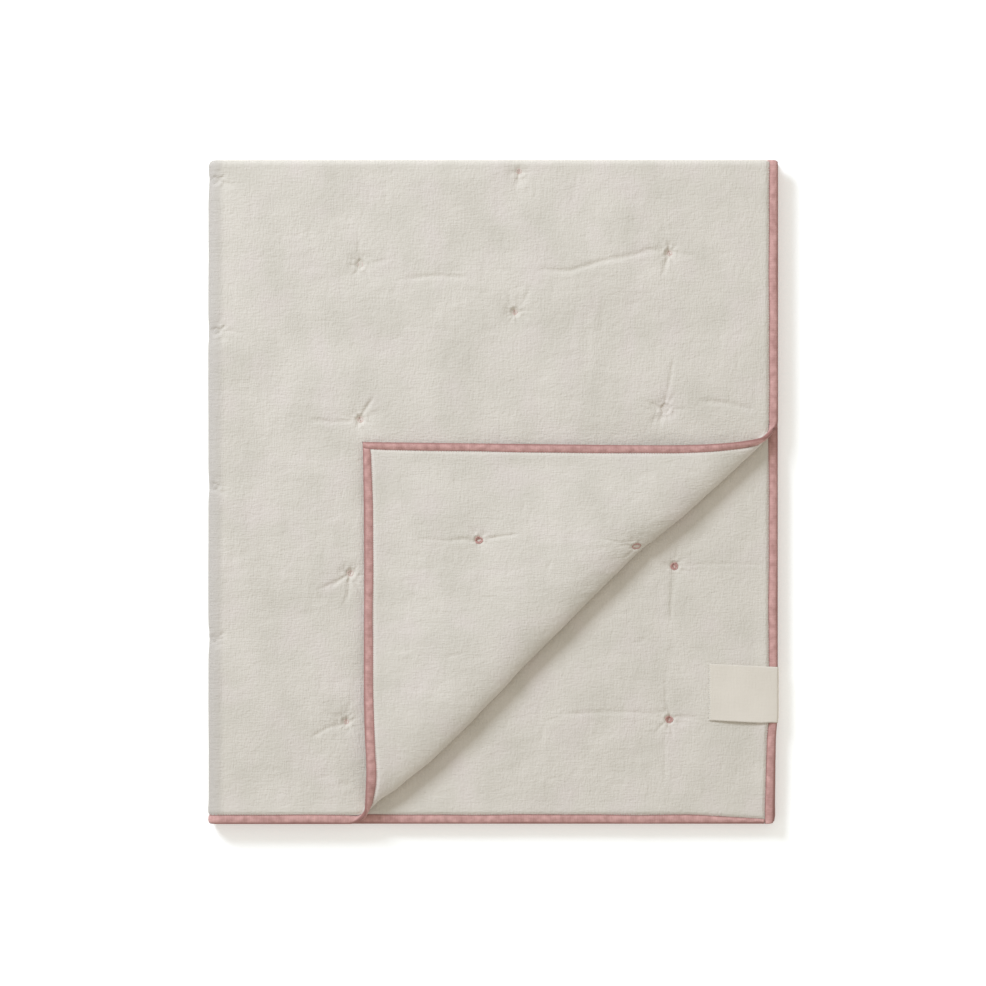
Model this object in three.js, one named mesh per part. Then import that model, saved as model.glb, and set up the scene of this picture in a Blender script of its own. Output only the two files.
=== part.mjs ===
import * as THREE from 'three';

// A padded cotton quilt, folded in half at the top, again at the left, one corner of its top layer turned back.
// Millimetres, X to the right, Y up the package, Z up. The underside lies on Z = 0.

// Driving sizes of the folded package
const foldedWidth = 600;
const foldedLength = 699;
const clothThickness = 4.6;
const layerPitch = 6;

// Binding tape, folded over the edge of the cloth
const tapeWidth = 8;
const tapeOuterHalf = clothThickness / 2;
const tapeInnerHalf = 1.5;
const tapeProud = 1.5;
const tapeClearance = 0.3;
const tapeMeeting = 0.5;
const tapeEndGap = 0.8;
const tapeNarrowing = 4.6;
const tapeNarrowsOver = 95;
const boundHalf = 0.7;
const boundWidth = tapeWidth + tapeClearance;
const paddingStart = 24;

// Label, folded over the bound edge of the second layer
const labelLength = 70.7;
const labelUnderLength = 28;
const labelWidth = 60;
const labelThickness = 0.5;
const labelDown = 529.5;
const labelSlant = 0.051;
const labelLift = 1.8;
const labelClearance = 0.3;
const labelRows = 7;

// Turned corner: the roll of its crease, the low crest behind it, where it starts, and how it lies
const rollRadius = 5.5;
const rollShortOfFlat = 0.45;
const crestRise = 7.5;
const crestReach = 16;
const creaseStart = { x: -139.4, y: -347.4 };
const creaseEnd = { x: 289.3, y: 56 };
const cornerRestLift = layerPitch + 0.6;
const cornerSettle = 60;
const cornerEase = 0.9722;

// Slide of the turned corner along its crease, beside the bottom edge and beside the right edge
const slideStart = 11.45;
const slideBottomSlope = 0.0749;
const slideBottomCurve = 0.00018;
const slideBottomBack = 11.02;
const slideBottomBackReach = 23.7;
const slideRightRise = 24.1;
const slideRightReach = 20.6;
const slideRightSlope = 0.0678;

// Rounding of the package's corners in plan
const roundTopLeft = 8.5;
const roundTopRight = 7;
const roundBottomLeft = 6;
const roundClothCorner = 5.5;
const cutCornerTrim = 0.7;
const roundShare = 0.65;

// Unevenness of the half hidden edges: how far each lies in from the edge of the package
const driftReach = 240;
const secondInBelowLabel = 1.9;
const secondInAtCorner = 2.2;
const lowerInRight = 2.4;
const lowerInBottom = 1.8;
const lowerSwayRight = 1.1;
const lowerSwayBottom = 0.9;
const lowerProudAtTop = 0.8;

// Folds: radii of the middle of the cloth, and the lines about which it turns
const topRadius = layerPitch / 2;
const sideRadius = layerPitch;
const sideCentre = -foldedWidth / 2 + sideRadius + topRadius + clothThickness / 2;
const topCentre = foldedLength / 2 - topRadius - clothThickness / 2;
const stackMiddle = sideRadius + topRadius + clothThickness / 2;
const sideTurn = sideRadius * Math.PI / 2;
const topTurn = topRadius * Math.PI / 2;

// Half sizes of the open cloth, from the two fold lines to its cut edges
const halfAcross = foldedWidth / 2 - tapeProud - sideCentre + sideTurn;
const halfDown = foldedLength / 2 - tapeProud + topCentre + topTurn;

// Tacks, measured on the package from the left fold and from the top fold.
// layer 1 is the top layer, 2 the one under it, 4 the underside.
const tacks = [
  { layer: 1, across: 160.5, down: 109.8 },
  { layer: 1, across: 160.5, down: 273.5 },
  { layer: 1, across: 150, down: 435 },
  { layer: 1, across: 145.7, down: 591.4 },
  { layer: 1, across: 323.1, down: 160.5 },
  { layer: 1, across: 485.8, down: 98.2 },
  { layer: 1, across: 481.5, down: 261.9 },
  { layer: 1, across: 327.4, down: 12 },
  { layer: 1, across: 8, down: 21.6 },
  { layer: 1, across: 9, down: 180.6 },
  { layer: 1, across: 8, down: 344.3 },
  { layer: 1, across: 7, down: 504.8 },
  { layer: 1, across: 486.5, down: 578.1 },
  { layer: 1, across: 471.2, down: 417.1 },
  { layer: 2, across: 491, down: 427.7 },
  { layer: 2, across: 485.8, down: 589.2 },
];
const undersideTackPitch = 162.6;
const undersideTackColumns = 3;
const undersideTackRows = 4;
const tackReach = 10;
const tackPinch = 0.5;
const tackDip = 0.7;
const tackDipReach = 26;
const tackRing = 16;
const tackRingPoints = 6;

// Swell of the padding between the tacks, and the deepest that any trough may be
const swellHeight = 0.35;
const swellAcross = 37;
const swellDown = 31;
const swellWander = 90;
const deepestTrough = 0.95;
const foldFade = 30;
const edgeFade = 40;

// Main creases of the upper faces: soft troughs (depth above zero) and ridges (below zero)
const creases = [
  { layer: 1, fromAcross: 209, fromDown: 124, toAcross: 277, toDown: 123, depth: 0.8, width: 14 },
  { layer: 1, fromAcross: 348, fromDown: 116, toAcross: 413, toDown: 107, depth: 1, width: 16 },
  { layer: 1, fromAcross: 413, fromDown: 107, toAcross: 480, toDown: 91, depth: 1.1, width: 16 },
  { layer: 1, fromAcross: 486, fromDown: 100, toAcross: 478, toDown: 122, depth: 0.9, width: 14 },
  { layer: 1, fromAcross: 491, fromDown: 203, toAcross: 474, toDown: 287, depth: 0.9, width: 14 },
  { layer: 1, fromAcross: 516, fromDown: 253, toAcross: 574, toDown: 264, depth: 1, width: 16 },
  { layer: 1, fromAcross: 107, fromDown: 274, toAcross: 158, toDown: 274, depth: 0.8, width: 14 },
  { layer: 1, fromAcross: 104, fromDown: 470, toAcross: 150, toDown: 436, depth: 0.9, width: 15 },
  { layer: 1, fromAcross: 100, fromDown: 606, toAcross: 146, toDown: 592, depth: 0.8, width: 14 },
  { layer: 2, fromAcross: 488, fromDown: 438, toAcross: 487, toDown: 488, depth: 0.8, width: 14 },
  { layer: 2, fromAcross: 365, fromDown: 582, toAcross: 480, toDown: 582, depth: 0.8, width: 16 },
];

// How far the seen line of the turned corner bows away from straight, along it from its lower end
const creaseBow = [
  { along: 0, bow: 0 },
  { along: 26, bow: -3.6 },
  { along: 57, bow: 1.2 },
  { along: 101, bow: 3.9 },
  { along: 152, bow: 2.9 },
  { along: 194, bow: 0.7 },
  { along: 240, bow: -1.6 },
  { along: 285, bow: -2.8 },
  { along: 335, bow: -5 },
  { along: 394, bow: -5.8 },
  { along: 432, bow: -3.9 },
  { along: 474, bow: -2.1 },
  { along: 540, bow: -1.4 },
  { along: 600, bow: -0.5 },
];
const bowReach = 43.8;

// Spacing of the points, close where the cloth is seen and wide where it is hidden
const seenStep = 28;
const hiddenStep = 95;
const sideFoldLines = 8;
const topFoldLines = 6;
const rollLines = 8;
const lineTolerance = 0.4;

const cottonColour = 0xd9d6cd;
const tapeColour = 0xcf9f9c;
const labelColour = 0xdad4c9;

function clamp(value, low, high) {
  return Math.min(Math.max(value, low), high);
}

function ease(value) {
  const share = clamp(value, 0, 1);
  return share * share * (3 - 2 * share);
}

function bell(distance, reach) {
  return Math.exp(-((distance / reach) ** 2));
}

function distanceToRun(point, start, end) {
  const along = { x: end.x - start.x, y: end.y - start.y };
  const length = Math.hypot(along.x, along.y);
  const share = clamp(((point.x - start.x) * along.x + (point.y - start.y) * along.y) / length ** 2, 0, 1);
  return Math.hypot(point.x - start.x - along.x * share, point.y - start.y - along.y * share);
}

// Crease line of the turned corner: a unit vector along it, and one out of it towards the corner
const creaseLength = Math.hypot(creaseEnd.x - creaseStart.x, creaseEnd.y - creaseStart.y);
const alongCrease = {
  x: (creaseEnd.x - creaseStart.x) / creaseLength,
  y: (creaseEnd.y - creaseStart.y) / creaseLength,
};
const outOfCrease = { x: alongCrease.y, y: -alongCrease.x };
const rollStart = -(rollRadius + clothThickness / 2);
const rollAngle = Math.PI - rollShortOfFlat;
const rollTurn = rollRadius * rollAngle;

function bowAt(along) {
  const next = creaseBow.findIndex((row) => row.along > along);
  if (next <= 0) {
    return 0;
  }
  const before = creaseBow[next - 1];
  const after = creaseBow[next];
  return before.bow + (after.bow - before.bow) * ease((along - before.along) / (after.along - before.along));
}

// Place on the flat top layer: distance along the crease and distance past the start of its roll
function fromCrease(x, y) {
  const across = x - creaseStart.x;
  const up = y - creaseStart.y;
  return {
    along: across * alongCrease.x + up * alongCrease.y,
    past: across * outOfCrease.x + up * outOfCrease.y - rollStart,
  };
}

// The turned corner slides down its crease as soft cloth does on the bias: little beside the bottom edge, more
// beside the right edge
function biasSlide(along, past) {
  const out = past + rollStart;
  const lowest = (-foldedLength / 2 - creaseStart.y - outOfCrease.y * out) / alongCrease.y;
  const highest = (foldedWidth / 2 - creaseStart.x - outOfCrease.x * out) / alongCrease.x;
  const share = clamp((along - lowest) / Math.max(highest - lowest, 1), 0, 1);
  const back = slideBottomBack * past / slideBottomBackReach * Math.exp(1 - past / slideBottomBackReach);
  const besideBottom = slideBottomSlope * past + slideBottomCurve * past * past - back;
  const besideRight = slideRightRise * (1 - Math.exp(-past / slideRightReach)) + slideRightSlope * past;
  return (besideBottom + (besideRight - besideBottom) * share) * ease(past / slideStart);
}

function turnCorner(point) {
  const { along, past } = fromCrease(point.x, point.y);
  let out = past + rollStart;
  let slide = 0;
  let lift = 0;
  if (past > 0) {
    const angle = Math.min(past / rollRadius, rollAngle);
    const beyond = Math.max(past - rollTurn, 0);
    const takenUp = crestRise ** 2 / crestReach / 4 * (1 - Math.exp(-2 * beyond / crestReach));
    out = rollStart + rollRadius * Math.sin(angle) - beyond * cornerEase + takenUp;
    lift = rollRadius * (1 - Math.cos(angle)) + crestRise * (1 - Math.exp(-beyond / crestReach));
    const settled = 1 - (1 + beyond / cornerSettle) * Math.exp(-beyond / cornerSettle);
    lift += (cornerRestLift - lift) * settled;
    slide = biasSlide(along, past);
  }
  out += bowAt(along - slide) * bell(out, bowReach);
  point.x = creaseStart.x + (along - slide) * alongCrease.x + out * outOfCrease.x;
  point.y = creaseStart.y + (along - slide) * alongCrease.y + out * outOfCrease.y;
  point.z += lift;
}

// Draws a square corner in to a round one; across and down are distances past the round part's two edges
function rounded(across, down, radius) {
  if (across <= 0 || down <= 0) {
    return [across, down];
  }
  const a = across / radius;
  const b = down / radius;
  const roundAcross = radius * a * Math.sqrt(Math.max(1 - b * b / 2, 0));
  const roundDown = radius * b * Math.sqrt(Math.max(1 - a * a / 2, 0));
  return [
    across + (roundAcross - across) * roundShare,
    down + (roundDown - down) * roundShare,
  ];
}

function roundPackageCorner(point, side, end, radius) {
  const edgeX = foldedWidth / 2 - radius;
  const edgeY = foldedLength / 2 - radius;
  const [across, down] = rounded(point.x * side - edgeX, point.y * end - edgeY, radius);
  point.x = (edgeX + across) * side;
  point.y = (edgeY + down) * end;
}

function roundCloth(u, v) {
  const edgeU = halfAcross + tapeProud - roundClothCorner;
  const edgeV = halfDown + tapeProud - roundClothCorner;
  const [across, down] = rounded(Math.abs(u) - edgeU, Math.abs(v) - edgeV, roundClothCorner);
  return [(edgeU + across) * Math.sign(u), (edgeV + down) * Math.sign(v)];
}

// Unevenness of the hidden and half hidden edges, in plan
function driftEdges(point, u, v) {
  const nearRight = ease((Math.abs(u) - halfAcross + driftReach) / driftReach);
  const nearBottom = ease((Math.abs(v) - halfDown + driftReach) / driftReach);
  if (u > 0 && v < 0) {
    const belowLabel = ease((-v - labelDown - labelWidth + 8) / 30);
    point.x -= nearRight * (secondInBelowLabel * belowLabel + secondInAtCorner * nearBottom ** 8);
  }
  if (u < 0) {
    const sway = v < 0 ? 1 : -1;
    point.x -= nearRight * (lowerInRight + lowerSwayRight * Math.sin(v / 95 + sway));
    point.y += nearBottom * (lowerInBottom + lowerSwayBottom * Math.sin(u / 80 + sway));
    point.y += lowerProudAtTop * ease(-u / 60) * ease((60 - Math.abs(v)) / 60);
  }
}

// Middle of the cloth at (u, v), the distances across and down from the two fold lines of the open quilt
function middle(uFlat, vFlat) {
  const [u, v] = roundCloth(uFlat, vFlat);
  const topAngle = clamp(v / topRadius, -Math.PI / 2, Math.PI / 2);
  const sideAngle = clamp(u / sideRadius, -Math.PI / 2, Math.PI / 2);
  const fromSide = sideRadius + topRadius * Math.sin(topAngle);
  const point = {
    x: sideCentre - fromSide * Math.cos(sideAngle) + Math.max(Math.abs(u) - sideTurn, 0),
    y: topCentre + topRadius * Math.cos(topAngle) - Math.max(Math.abs(v) - topTurn, 0),
    z: stackMiddle + fromSide * Math.sin(sideAngle),
  };
  driftEdges(point, u, v);
  if (u > sideTurn && v > topTurn) {
    turnCorner(point);
  }
  roundPackageCorner(point, -1, 1, roundTopLeft);
  roundPackageCorner(point, 1, 1, roundTopRight);
  roundPackageCorner(point, -1, -1, roundBottomLeft);
  return new THREE.Vector3(point.x, point.y, point.z);
}

function outward(u, v) {
  const step = 0.05;
  const alongU = middle(u + step, v).sub(middle(u - step, v));
  const alongV = middle(u, v + step).sub(middle(u, v - step));
  return alongV.cross(alongU).normalize();
}

// Place on the open quilt of a point measured on the package from its left and top folds
function onCloth({ layer, across, down }) {
  const u = across - foldedWidth / 2 - sideCentre + sideTurn;
  const v = down - foldedLength / 2 + topCentre + topTurn;
  return { x: layer > 2 ? -u : u, y: layer === 2 || layer === 3 ? -v : v };
}

function undersideTacks() {
  const rows = [];
  for (let column = 0; column < undersideTackColumns; column++) {
    for (let row = 0; row < undersideTackRows; row++) {
      const across = (column + 1) * undersideTackPitch;
      const down = (row + (column % 2 ? 0.4 : 0.9)) * undersideTackPitch;
      rows.push({ layer: 4, across, down });
    }
  }
  return rows;
}

const tackPlaces = [...tacks, ...undersideTacks()].map(onCloth);
const creasePlaces = creases.map((row) => ({
  ...row,
  start: onCloth({ layer: row.layer, across: row.fromAcross, down: row.fromDown }),
  end: onCloth({ layer: row.layer, across: row.toAcross, down: row.toDown }),
}));

function nearestTack(u, v) {
  return Math.min(...tackPlaces.map((tack) => Math.hypot(u - tack.x, v - tack.y)));
}

// Half the thickness: full padding in the open, pressed thin at the bound edges, pinched at each tack
function halfThickness(u, v) {
  const fromEdge = Math.min(halfAcross - Math.abs(u), halfDown - Math.abs(v));
  const padded = ease((fromEdge - boundWidth) / (paddingStart - boundWidth));
  const half = boundHalf + (clothThickness / 2 - boundHalf) * padded;
  return half * (1 - tackPinch * bell(nearestTack(u, v), tackReach));
}

// Nothing under the label, everything from a little way beside it
function clearOfLabel(u, v) {
  const beside = halfAcross - labelLength - u;
  const above = labelDown + v;
  const below = -v - labelDown - labelWidth - labelSlant * labelLength;
  return ease((Math.max(beside, above, below) - 4) / foldFade);
}

// Rise and fall of the seen faces, towards the outside of the folded package
function relief(u, v) {
  const seenTop = u > sideTurn && v > topTurn;
  const seenSecond = u > sideTurn && v < -topTurn;
  if (!seenTop && !seenSecond) {
    return 0;
  }
  const fade = ease((u - sideTurn) / foldFade) * ease((Math.abs(v) - topTurn) / foldFade);
  const swell = Math.sin(u / swellAcross + 2 * Math.sin(v / swellWander)) * Math.sin(v / swellDown);
  let rise = swellHeight * swell;
  rise -= tackDip * bell(nearestTack(u, v), tackDipReach);
  for (const row of creasePlaces) {
    rise -= row.depth * bell(distanceToRun({ x: u, y: v }, row.start, row.end), row.width);
  }
  rise = Math.max(rise, -deepestTrough);
  const edge = ease((Math.min(halfAcross - u, halfDown - Math.abs(v)) - boundWidth) / edgeFade);
  if (seenSecond) {
    return -rise * fade * edge * clearOfLabel(u, v);
  }
  const plan = { x: sideCentre + u - sideTurn, y: topCentre - v + topTurn };
  const turned = clamp(fromCrease(plan.x, plan.y).past / rollTurn, 0, 1);
  return rise * fade * edge * Math.cos(turned * Math.PI);
}

// A point of the folded cloth: offset is the distance from its middle, above zero on the quilt's outer face
function folded(u, v, offset) {
  return middle(u, v).addScaledVector(outward(u, v), offset + relief(u, v));
}

// A small fixed shift for each point, so that no rows of points show
function unevenShift(index, size) {
  const turn = index * 2.399963;
  return { x: Math.cos(turn) * size, y: Math.sin(turn) * size };
}

// Even places from one end of a stretch up to, but not at, the other
function between(from, to, step) {
  const count = Math.max(Math.round((to - from) / step), 1);
  return Array.from({ length: count }, (_, k) => from + (to - from) * k / count);
}

function foldPlaces(turn, lines) {
  return Array.from({ length: lines + 1 }, (_, k) => turn * (2 * k / lines - 1));
}

const sideFold = foldPlaces(sideTurn, sideFoldLines);
const topFold = foldPlaces(topTurn, topFoldLines);

const beforeRoll = [-4];
const afterRoll = [4, 10, 18, 28, 42, 60];
const rollTurns = Array.from({ length: rollLines + 1 }, (_, k) => rollTurn * k / rollLines);
const rollPlaces = [...beforeRoll, ...rollTurns, ...afterRoll.map((beyond) => rollTurn + beyond)];

// Where a line beside the roll, past its start, meets the right and the bottom edge of the open quilt
function meetsRight(past, u) {
  const x = sideCentre + u - sideTurn;
  const y = creaseStart.y + (past + rollStart - (x - creaseStart.x) * outOfCrease.x) / outOfCrease.y;
  return topCentre + topTurn - y;
}

function meetsBottom(past, v) {
  const y = topCentre - v + topTurn;
  const x = creaseStart.x + (past + rollStart - (y - creaseStart.y) * outOfCrease.y) / outOfCrease.x;
  return x - sideCentre + sideTurn;
}

const cornerMarks = [boundWidth, roundClothCorner - tapeProud, roundClothCorner / 2 - tapeProud, 0];
const secondLayerSeenFrom = 250;
const shownBesideRoll = 40;

// Places down an edge of the open quilt (side 1 the right, side -1 the left), for its cloth and its tape alike
function edgeDown(side) {
  const places = cornerMarks.map((mark) => -halfDown + mark).reverse();
  const rolled = rollPlaces.map((past) => meetsRight(past, halfAcross));
  if (side > 0) {
    places.push(...between(places.pop(), -secondLayerSeenFrom, seenStep));
    places.push(...between(-secondLayerSeenFrom, -topTurn, hiddenStep / 2));
    places.push(...topFold.slice(0, -1));
    places.push(...between(topTurn, rolled[0], seenStep));
    places.push(...rolled.slice(0, -1));
    places.push(...between(rolled[rolled.length - 1], halfDown - boundWidth, seenStep));
  } else {
    places.push(...between(places.pop(), -topTurn, hiddenStep));
    places.push(...topFold.slice(0, -1));
    places.push(...between(topTurn, halfDown - boundWidth, hiddenStep));
  }
  places.push(...cornerMarks.map((mark) => halfDown - mark));
  return places;
}

// Places along an end of the open quilt (end 1 is the end of the top layer, end -1 of the second layer)
function edgeAcross(end) {
  const places = cornerMarks.map((mark) => -halfAcross + mark).reverse();
  const rolled = rollPlaces.map((past) => meetsBottom(past, halfDown));
  places.push(...between(places.pop(), -sideTurn, hiddenStep));
  places.push(...sideFold.slice(0, -1));
  if (end > 0) {
    places.push(...between(sideTurn, rolled[0], seenStep));
    places.push(...rolled.slice(0, -1));
    places.push(...between(rolled[rolled.length - 1], halfAcross - boundWidth, seenStep));
  } else {
    places.push(...between(sideTurn, halfAcross - boundWidth, seenStep));
  }
  places.push(...cornerMarks.map((mark) => halfAcross - mark));
  return places;
}

// Rungs across the two folds, close together where the fold is seen
function rungsDownSideFold() {
  return [
    ...between(-halfDown + boundWidth, -topTurn, hiddenStep),
    ...between(topTurn, halfDown - boundWidth, seenStep),
    halfDown - boundWidth,
  ];
}

function rungsAlongTopFold() {
  return [
    ...between(-halfAcross + boundWidth, -sideTurn, hiddenStep),
    ...between(sideTurn, halfAcross - boundWidth, seenStep),
    halfAcross - boundWidth,
  ];
}

function toCloth(along, past) {
  const out = past + rollStart;
  const x = creaseStart.x + along * alongCrease.x + out * outOfCrease.x;
  const y = creaseStart.y + along * alongCrease.y + out * outOfCrease.y;
  return { x: x - sideCentre + sideTurn, y: topCentre + topTurn - y };
}

function pastCrease(point) {
  return fromCrease(sideCentre + point.x - sideTurn, topCentre + topTurn - point.y).past;
}

// All points of the open cloth: its edges, its folds, the roll, the tacks, the creases, then an uneven field
function clothPoints() {
  const points = [];
  const add = (x, y, room) => {
    if (points.every((point) => Math.hypot(point.x - x, point.y - y) >= room)) {
      points.push({ x, y });
    }
  };
  const atOnce = 0.01;
  for (const side of [-1, 1]) {
    edgeDown(side).forEach((v) => add(side * halfAcross, v, atOnce));
    edgeAcross(side).forEach((u) => add(u, side * halfDown, atOnce));
  }
  sideFold.forEach((u) => rungsDownSideFold().forEach((v) => add(u, v, atOnce)));
  topFold.forEach((v) => rungsAlongTopFold().forEach((u) => add(u, v, atOnce)));
  sideFold.forEach((u) => topFold.forEach((v) => add(u, v, atOnce)));
  const roomAtEdge = boundWidth + seenStep / 2;
  const offEdges = (u, v, room) => halfAcross - Math.abs(u) > room && halfDown - Math.abs(v) > room;
  for (let along = 0; along < creaseLength; along += seenStep) {
    for (const past of rollPlaces) {
      const place = toCloth(along, past);
      if (offEdges(place.x, place.y, roomAtEdge)) {
        add(place.x, place.y, atOnce);
      }
    }
  }
  const addFree = (u, v, room, roomAtFolds) => {
    const past = u > 0 && v > 0 ? pastCrease({ x: u, y: v }) : -Infinity;
    const beforeIt = past < rollPlaces[0] - roomAtFolds;
    const offRoll = beforeIt || past > rollPlaces[rollPlaces.length - 1] + roomAtFolds;
    const offFolds = Math.abs(u) > sideTurn + roomAtFolds && Math.abs(v) > topTurn + roomAtFolds;
    if (offFolds && offRoll && offEdges(u, v, roomAtEdge)) {
      add(u, v, room);
    }
  };
  const roomAtFolds = seenStep * 0.55;
  for (const tack of tackPlaces) {
    addFree(tack.x, tack.y, seenStep / 4, roomAtFolds);
    for (let k = 0; k < tackRingPoints; k++) {
      const turn = (k + 0.5) * 2 * Math.PI / tackRingPoints;
      const x = tack.x + tackRing * Math.cos(turn);
      const y = tack.y + tackRing * Math.sin(turn);
      addFree(x, y, seenStep / 4, roomAtFolds);
    }
  }
  for (const { start, end } of creasePlaces) {
    const count = Math.max(Math.round(Math.hypot(end.x - start.x, end.y - start.y) / seenStep), 1);
    for (let k = 0; k <= count; k++) {
      const share = k / count;
      addFree(start.x + (end.x - start.x) * share, start.y + (end.y - start.y) * share, 10, roomAtFolds);
    }
  }
  let index = 0;
  for (const [sideU, sideV] of [[1, 1], [1, -1], [-1, 1], [-1, -1]]) {
    const step = sideU > 0 ? seenStep : hiddenStep;
    for (let u = step / 2; u < halfAcross; u += step) {
      for (let v = step / 2; v < halfDown; v += step) {
        const shift = unevenShift(index, step * 0.14);
        const shown = sideU > 0 && (sideV > 0 || pastCrease({ x: u, y: v }) > -shownBesideRoll);
        const room = (shown ? seenStep : hiddenStep) * 0.62;
        index += 1;
        addFree(sideU * (u + shift.x), sideV * (v + shift.y), room, sideU > 0 ? roomAtFolds : hiddenStep * 0.4);
      }
    }
  }
  return points;
}

// Circle through three corners, for the test of which points a triangle may not enclose
function around(points, corners) {
  const [a, b, c] = corners.map((corner) => points[corner]);
  const bx = b.x - a.x;
  const by = b.y - a.y;
  const cx = c.x - a.x;
  const cy = c.y - a.y;
  const twice = 2 * (bx * cy - by * cx);
  const x = (cy * (bx * bx + by * by) - by * (cx * cx + cy * cy)) / twice;
  const y = (bx * (cx * cx + cy * cy) - cx * (bx * bx + by * by)) / twice;
  return { corners, x: a.x + x, y: a.y + y, square: x * x + y * y };
}

// Joins the points into even triangles, one point at a time
function joinPoints(points) {
  const far = 1e5;
  const count = points.length;
  const all = [...points, { x: -far, y: -far }, { x: far, y: -far }, { x: 0, y: far }];
  let triangles = [around(all, [count, count + 1, count + 2])];
  for (let index = 0; index < count; index++) {
    const { x, y } = all[index];
    const kept = [];
    const rim = new Map();
    for (const triangle of triangles) {
      if ((x - triangle.x) ** 2 + (y - triangle.y) ** 2 >= triangle.square) {
        kept.push(triangle);
        continue;
      }
      triangle.corners.forEach((from, k) => {
        const to = triangle.corners[(k + 1) % 3];
        if (!rim.delete(`${to},${from}`)) {
          rim.set(`${from},${to}`, [from, to]);
        }
      });
    }
    triangles = kept;
    for (const [from, to] of rim.values()) {
      triangles.push(around(all, [from, to, index]));
    }
  }
  return triangles.map((triangle) => triangle.corners).filter((corners) => Math.max(...corners) < count);
}

// Divides the triangles along the line where lineAt is zero, so that the cloth can turn there
function divideAlong(sheet, lineAt) {
  const { points } = sheet;
  const sides = points.map((point) => {
    const distance = lineAt(point);
    return Math.abs(distance) < lineTolerance ? 0 : Math.sign(distance);
  });
  const made = new Map();
  const crossing = (from, to) => {
    const key = from < to ? `${from},${to}` : `${to},${from}`;
    if (!made.has(key)) {
      const share = lineAt(points[from]) / (lineAt(points[from]) - lineAt(points[to]));
      const x = points[from].x + (points[to].x - points[from].x) * share;
      const y = points[from].y + (points[to].y - points[from].y) * share;
      made.set(key, points.length);
      points.push({ x, y });
      sides.push(0);
    }
    return made.get(key);
  };
  const apart = (a, b) => Math.hypot(points[a].x - points[b].x, points[a].y - points[b].y);
  const divided = [];
  for (const corners of sheet.triangles) {
    const present = corners.map((corner) => sides[corner]);
    if (!present.includes(1) || !present.includes(-1)) {
      divided.push(corners);
      continue;
    }
    for (const kept of [1, -1]) {
      const outline = [];
      corners.forEach((corner, k) => {
        const next = corners[(k + 1) % 3];
        if (sides[corner] !== -kept) {
          outline.push(corner);
        }
        if (sides[corner] * sides[next] === -1) {
          outline.push(crossing(corner, next));
        }
      });
      const [a, b, c, d] = outline;
      if (d === undefined) {
        divided.push([a, b, c]);
      } else if (apart(a, c) < apart(b, d)) {
        divided.push([a, b, c], [a, c, d]);
      } else {
        divided.push([a, b, d], [b, c, d]);
      }
    }
  }
  sheet.triangles = divided;
}

function clothSheet() {
  const points = clothPoints();
  const sheet = { points, triangles: joinPoints(points) };
  for (const side of [-1, 1]) {
    divideAlong(sheet, (point) => point.x - side * (halfAcross - boundWidth));
    divideAlong(sheet, (point) => point.y - side * (halfDown - boundWidth));
  }
  sideFold.forEach((u) => divideAlong(sheet, (point) => point.x - u));
  topFold.forEach((v) => divideAlong(sheet, (point) => point.y - v));
  rollPlaces.forEach((past) => divideAlong(sheet, (point) => pastCrease(point) - past));
  return sheet;
}

// The padded cloth: its outer face, its inner face and the cut edge between them
function quiltSolid() {
  const sheet = clothSheet();
  const count = sheet.points.length;
  const places = [1, -1].flatMap((face) => sheet.points.map(({ x, y }) => {
    const atCorner = Math.abs(x) > halfAcross - lineTolerance && Math.abs(y) > halfDown - lineTolerance;
    const trim = atCorner ? cutCornerTrim : 0;
    return folded(x - Math.sign(x) * trim, y - Math.sign(y) * trim, face * halfThickness(x, y));
  }));
  const faces = [];
  const open = new Map();
  for (const [a, b, c] of sheet.triangles) {
    faces.push([a, c, b], [a + count, b + count, c + count]);
    for (const [from, to] of [[a, b], [b, c], [c, a]]) {
      if (!open.delete(`${to},${from}`)) {
        open.set(`${from},${to}`, [from, to]);
      }
    }
  }
  for (const [from, to] of open.values()) {
    faces.push([from, to, to + count], [from, to + count, from + count]);
  }
  return { places, faces };
}

// A closed solid with the same outline at each station along a run, shut at both ends. Each panel is parted
// along the diagonal that lies nearer the true surface.
function sweep(stations, outline, placeAt) {
  const places = stations.flatMap((station) => outline.map((spot) => placeAt(station, spot)));
  const size = outline.length;
  const faces = [];
  const offTrue = (from, to, centre) => places[from].clone().lerp(places[to], 0.5).distanceTo(centre);
  for (let station = 0; station + 1 < stations.length; station++) {
    for (let k = 0; k < size; k++) {
      const next = (k + 1) % size;
      const here = station * size + k;
      const beside = station * size + next;
      const spot = [(outline[k][0] + outline[next][0]) / 2, (outline[k][1] + outline[next][1]) / 2];
      const centre = placeAt((stations[station] + stations[station + 1]) / 2, spot);
      if (offTrue(here, beside + size, centre) < offTrue(beside, here + size, centre)) {
        faces.push([here, beside, beside + size], [here, beside + size, here + size]);
      } else {
        faces.push([here, beside, here + size], [beside, beside + size, here + size]);
      }
    }
  }
  const shape = outline.map(([out, offset]) => new THREE.Vector2(out, offset));
  const clockwise = THREE.ShapeUtils.isClockWise(shape);
  const last = (stations.length - 1) * size;
  for (const [a, b, c] of THREE.ShapeUtils.triangulateShape(shape, [])) {
    const [second, third] = clockwise ? [c, b] : [b, c];
    faces.push([a, third, second], [a + last, second + last, third + last]);
  }
  return { places, faces };
}

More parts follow.
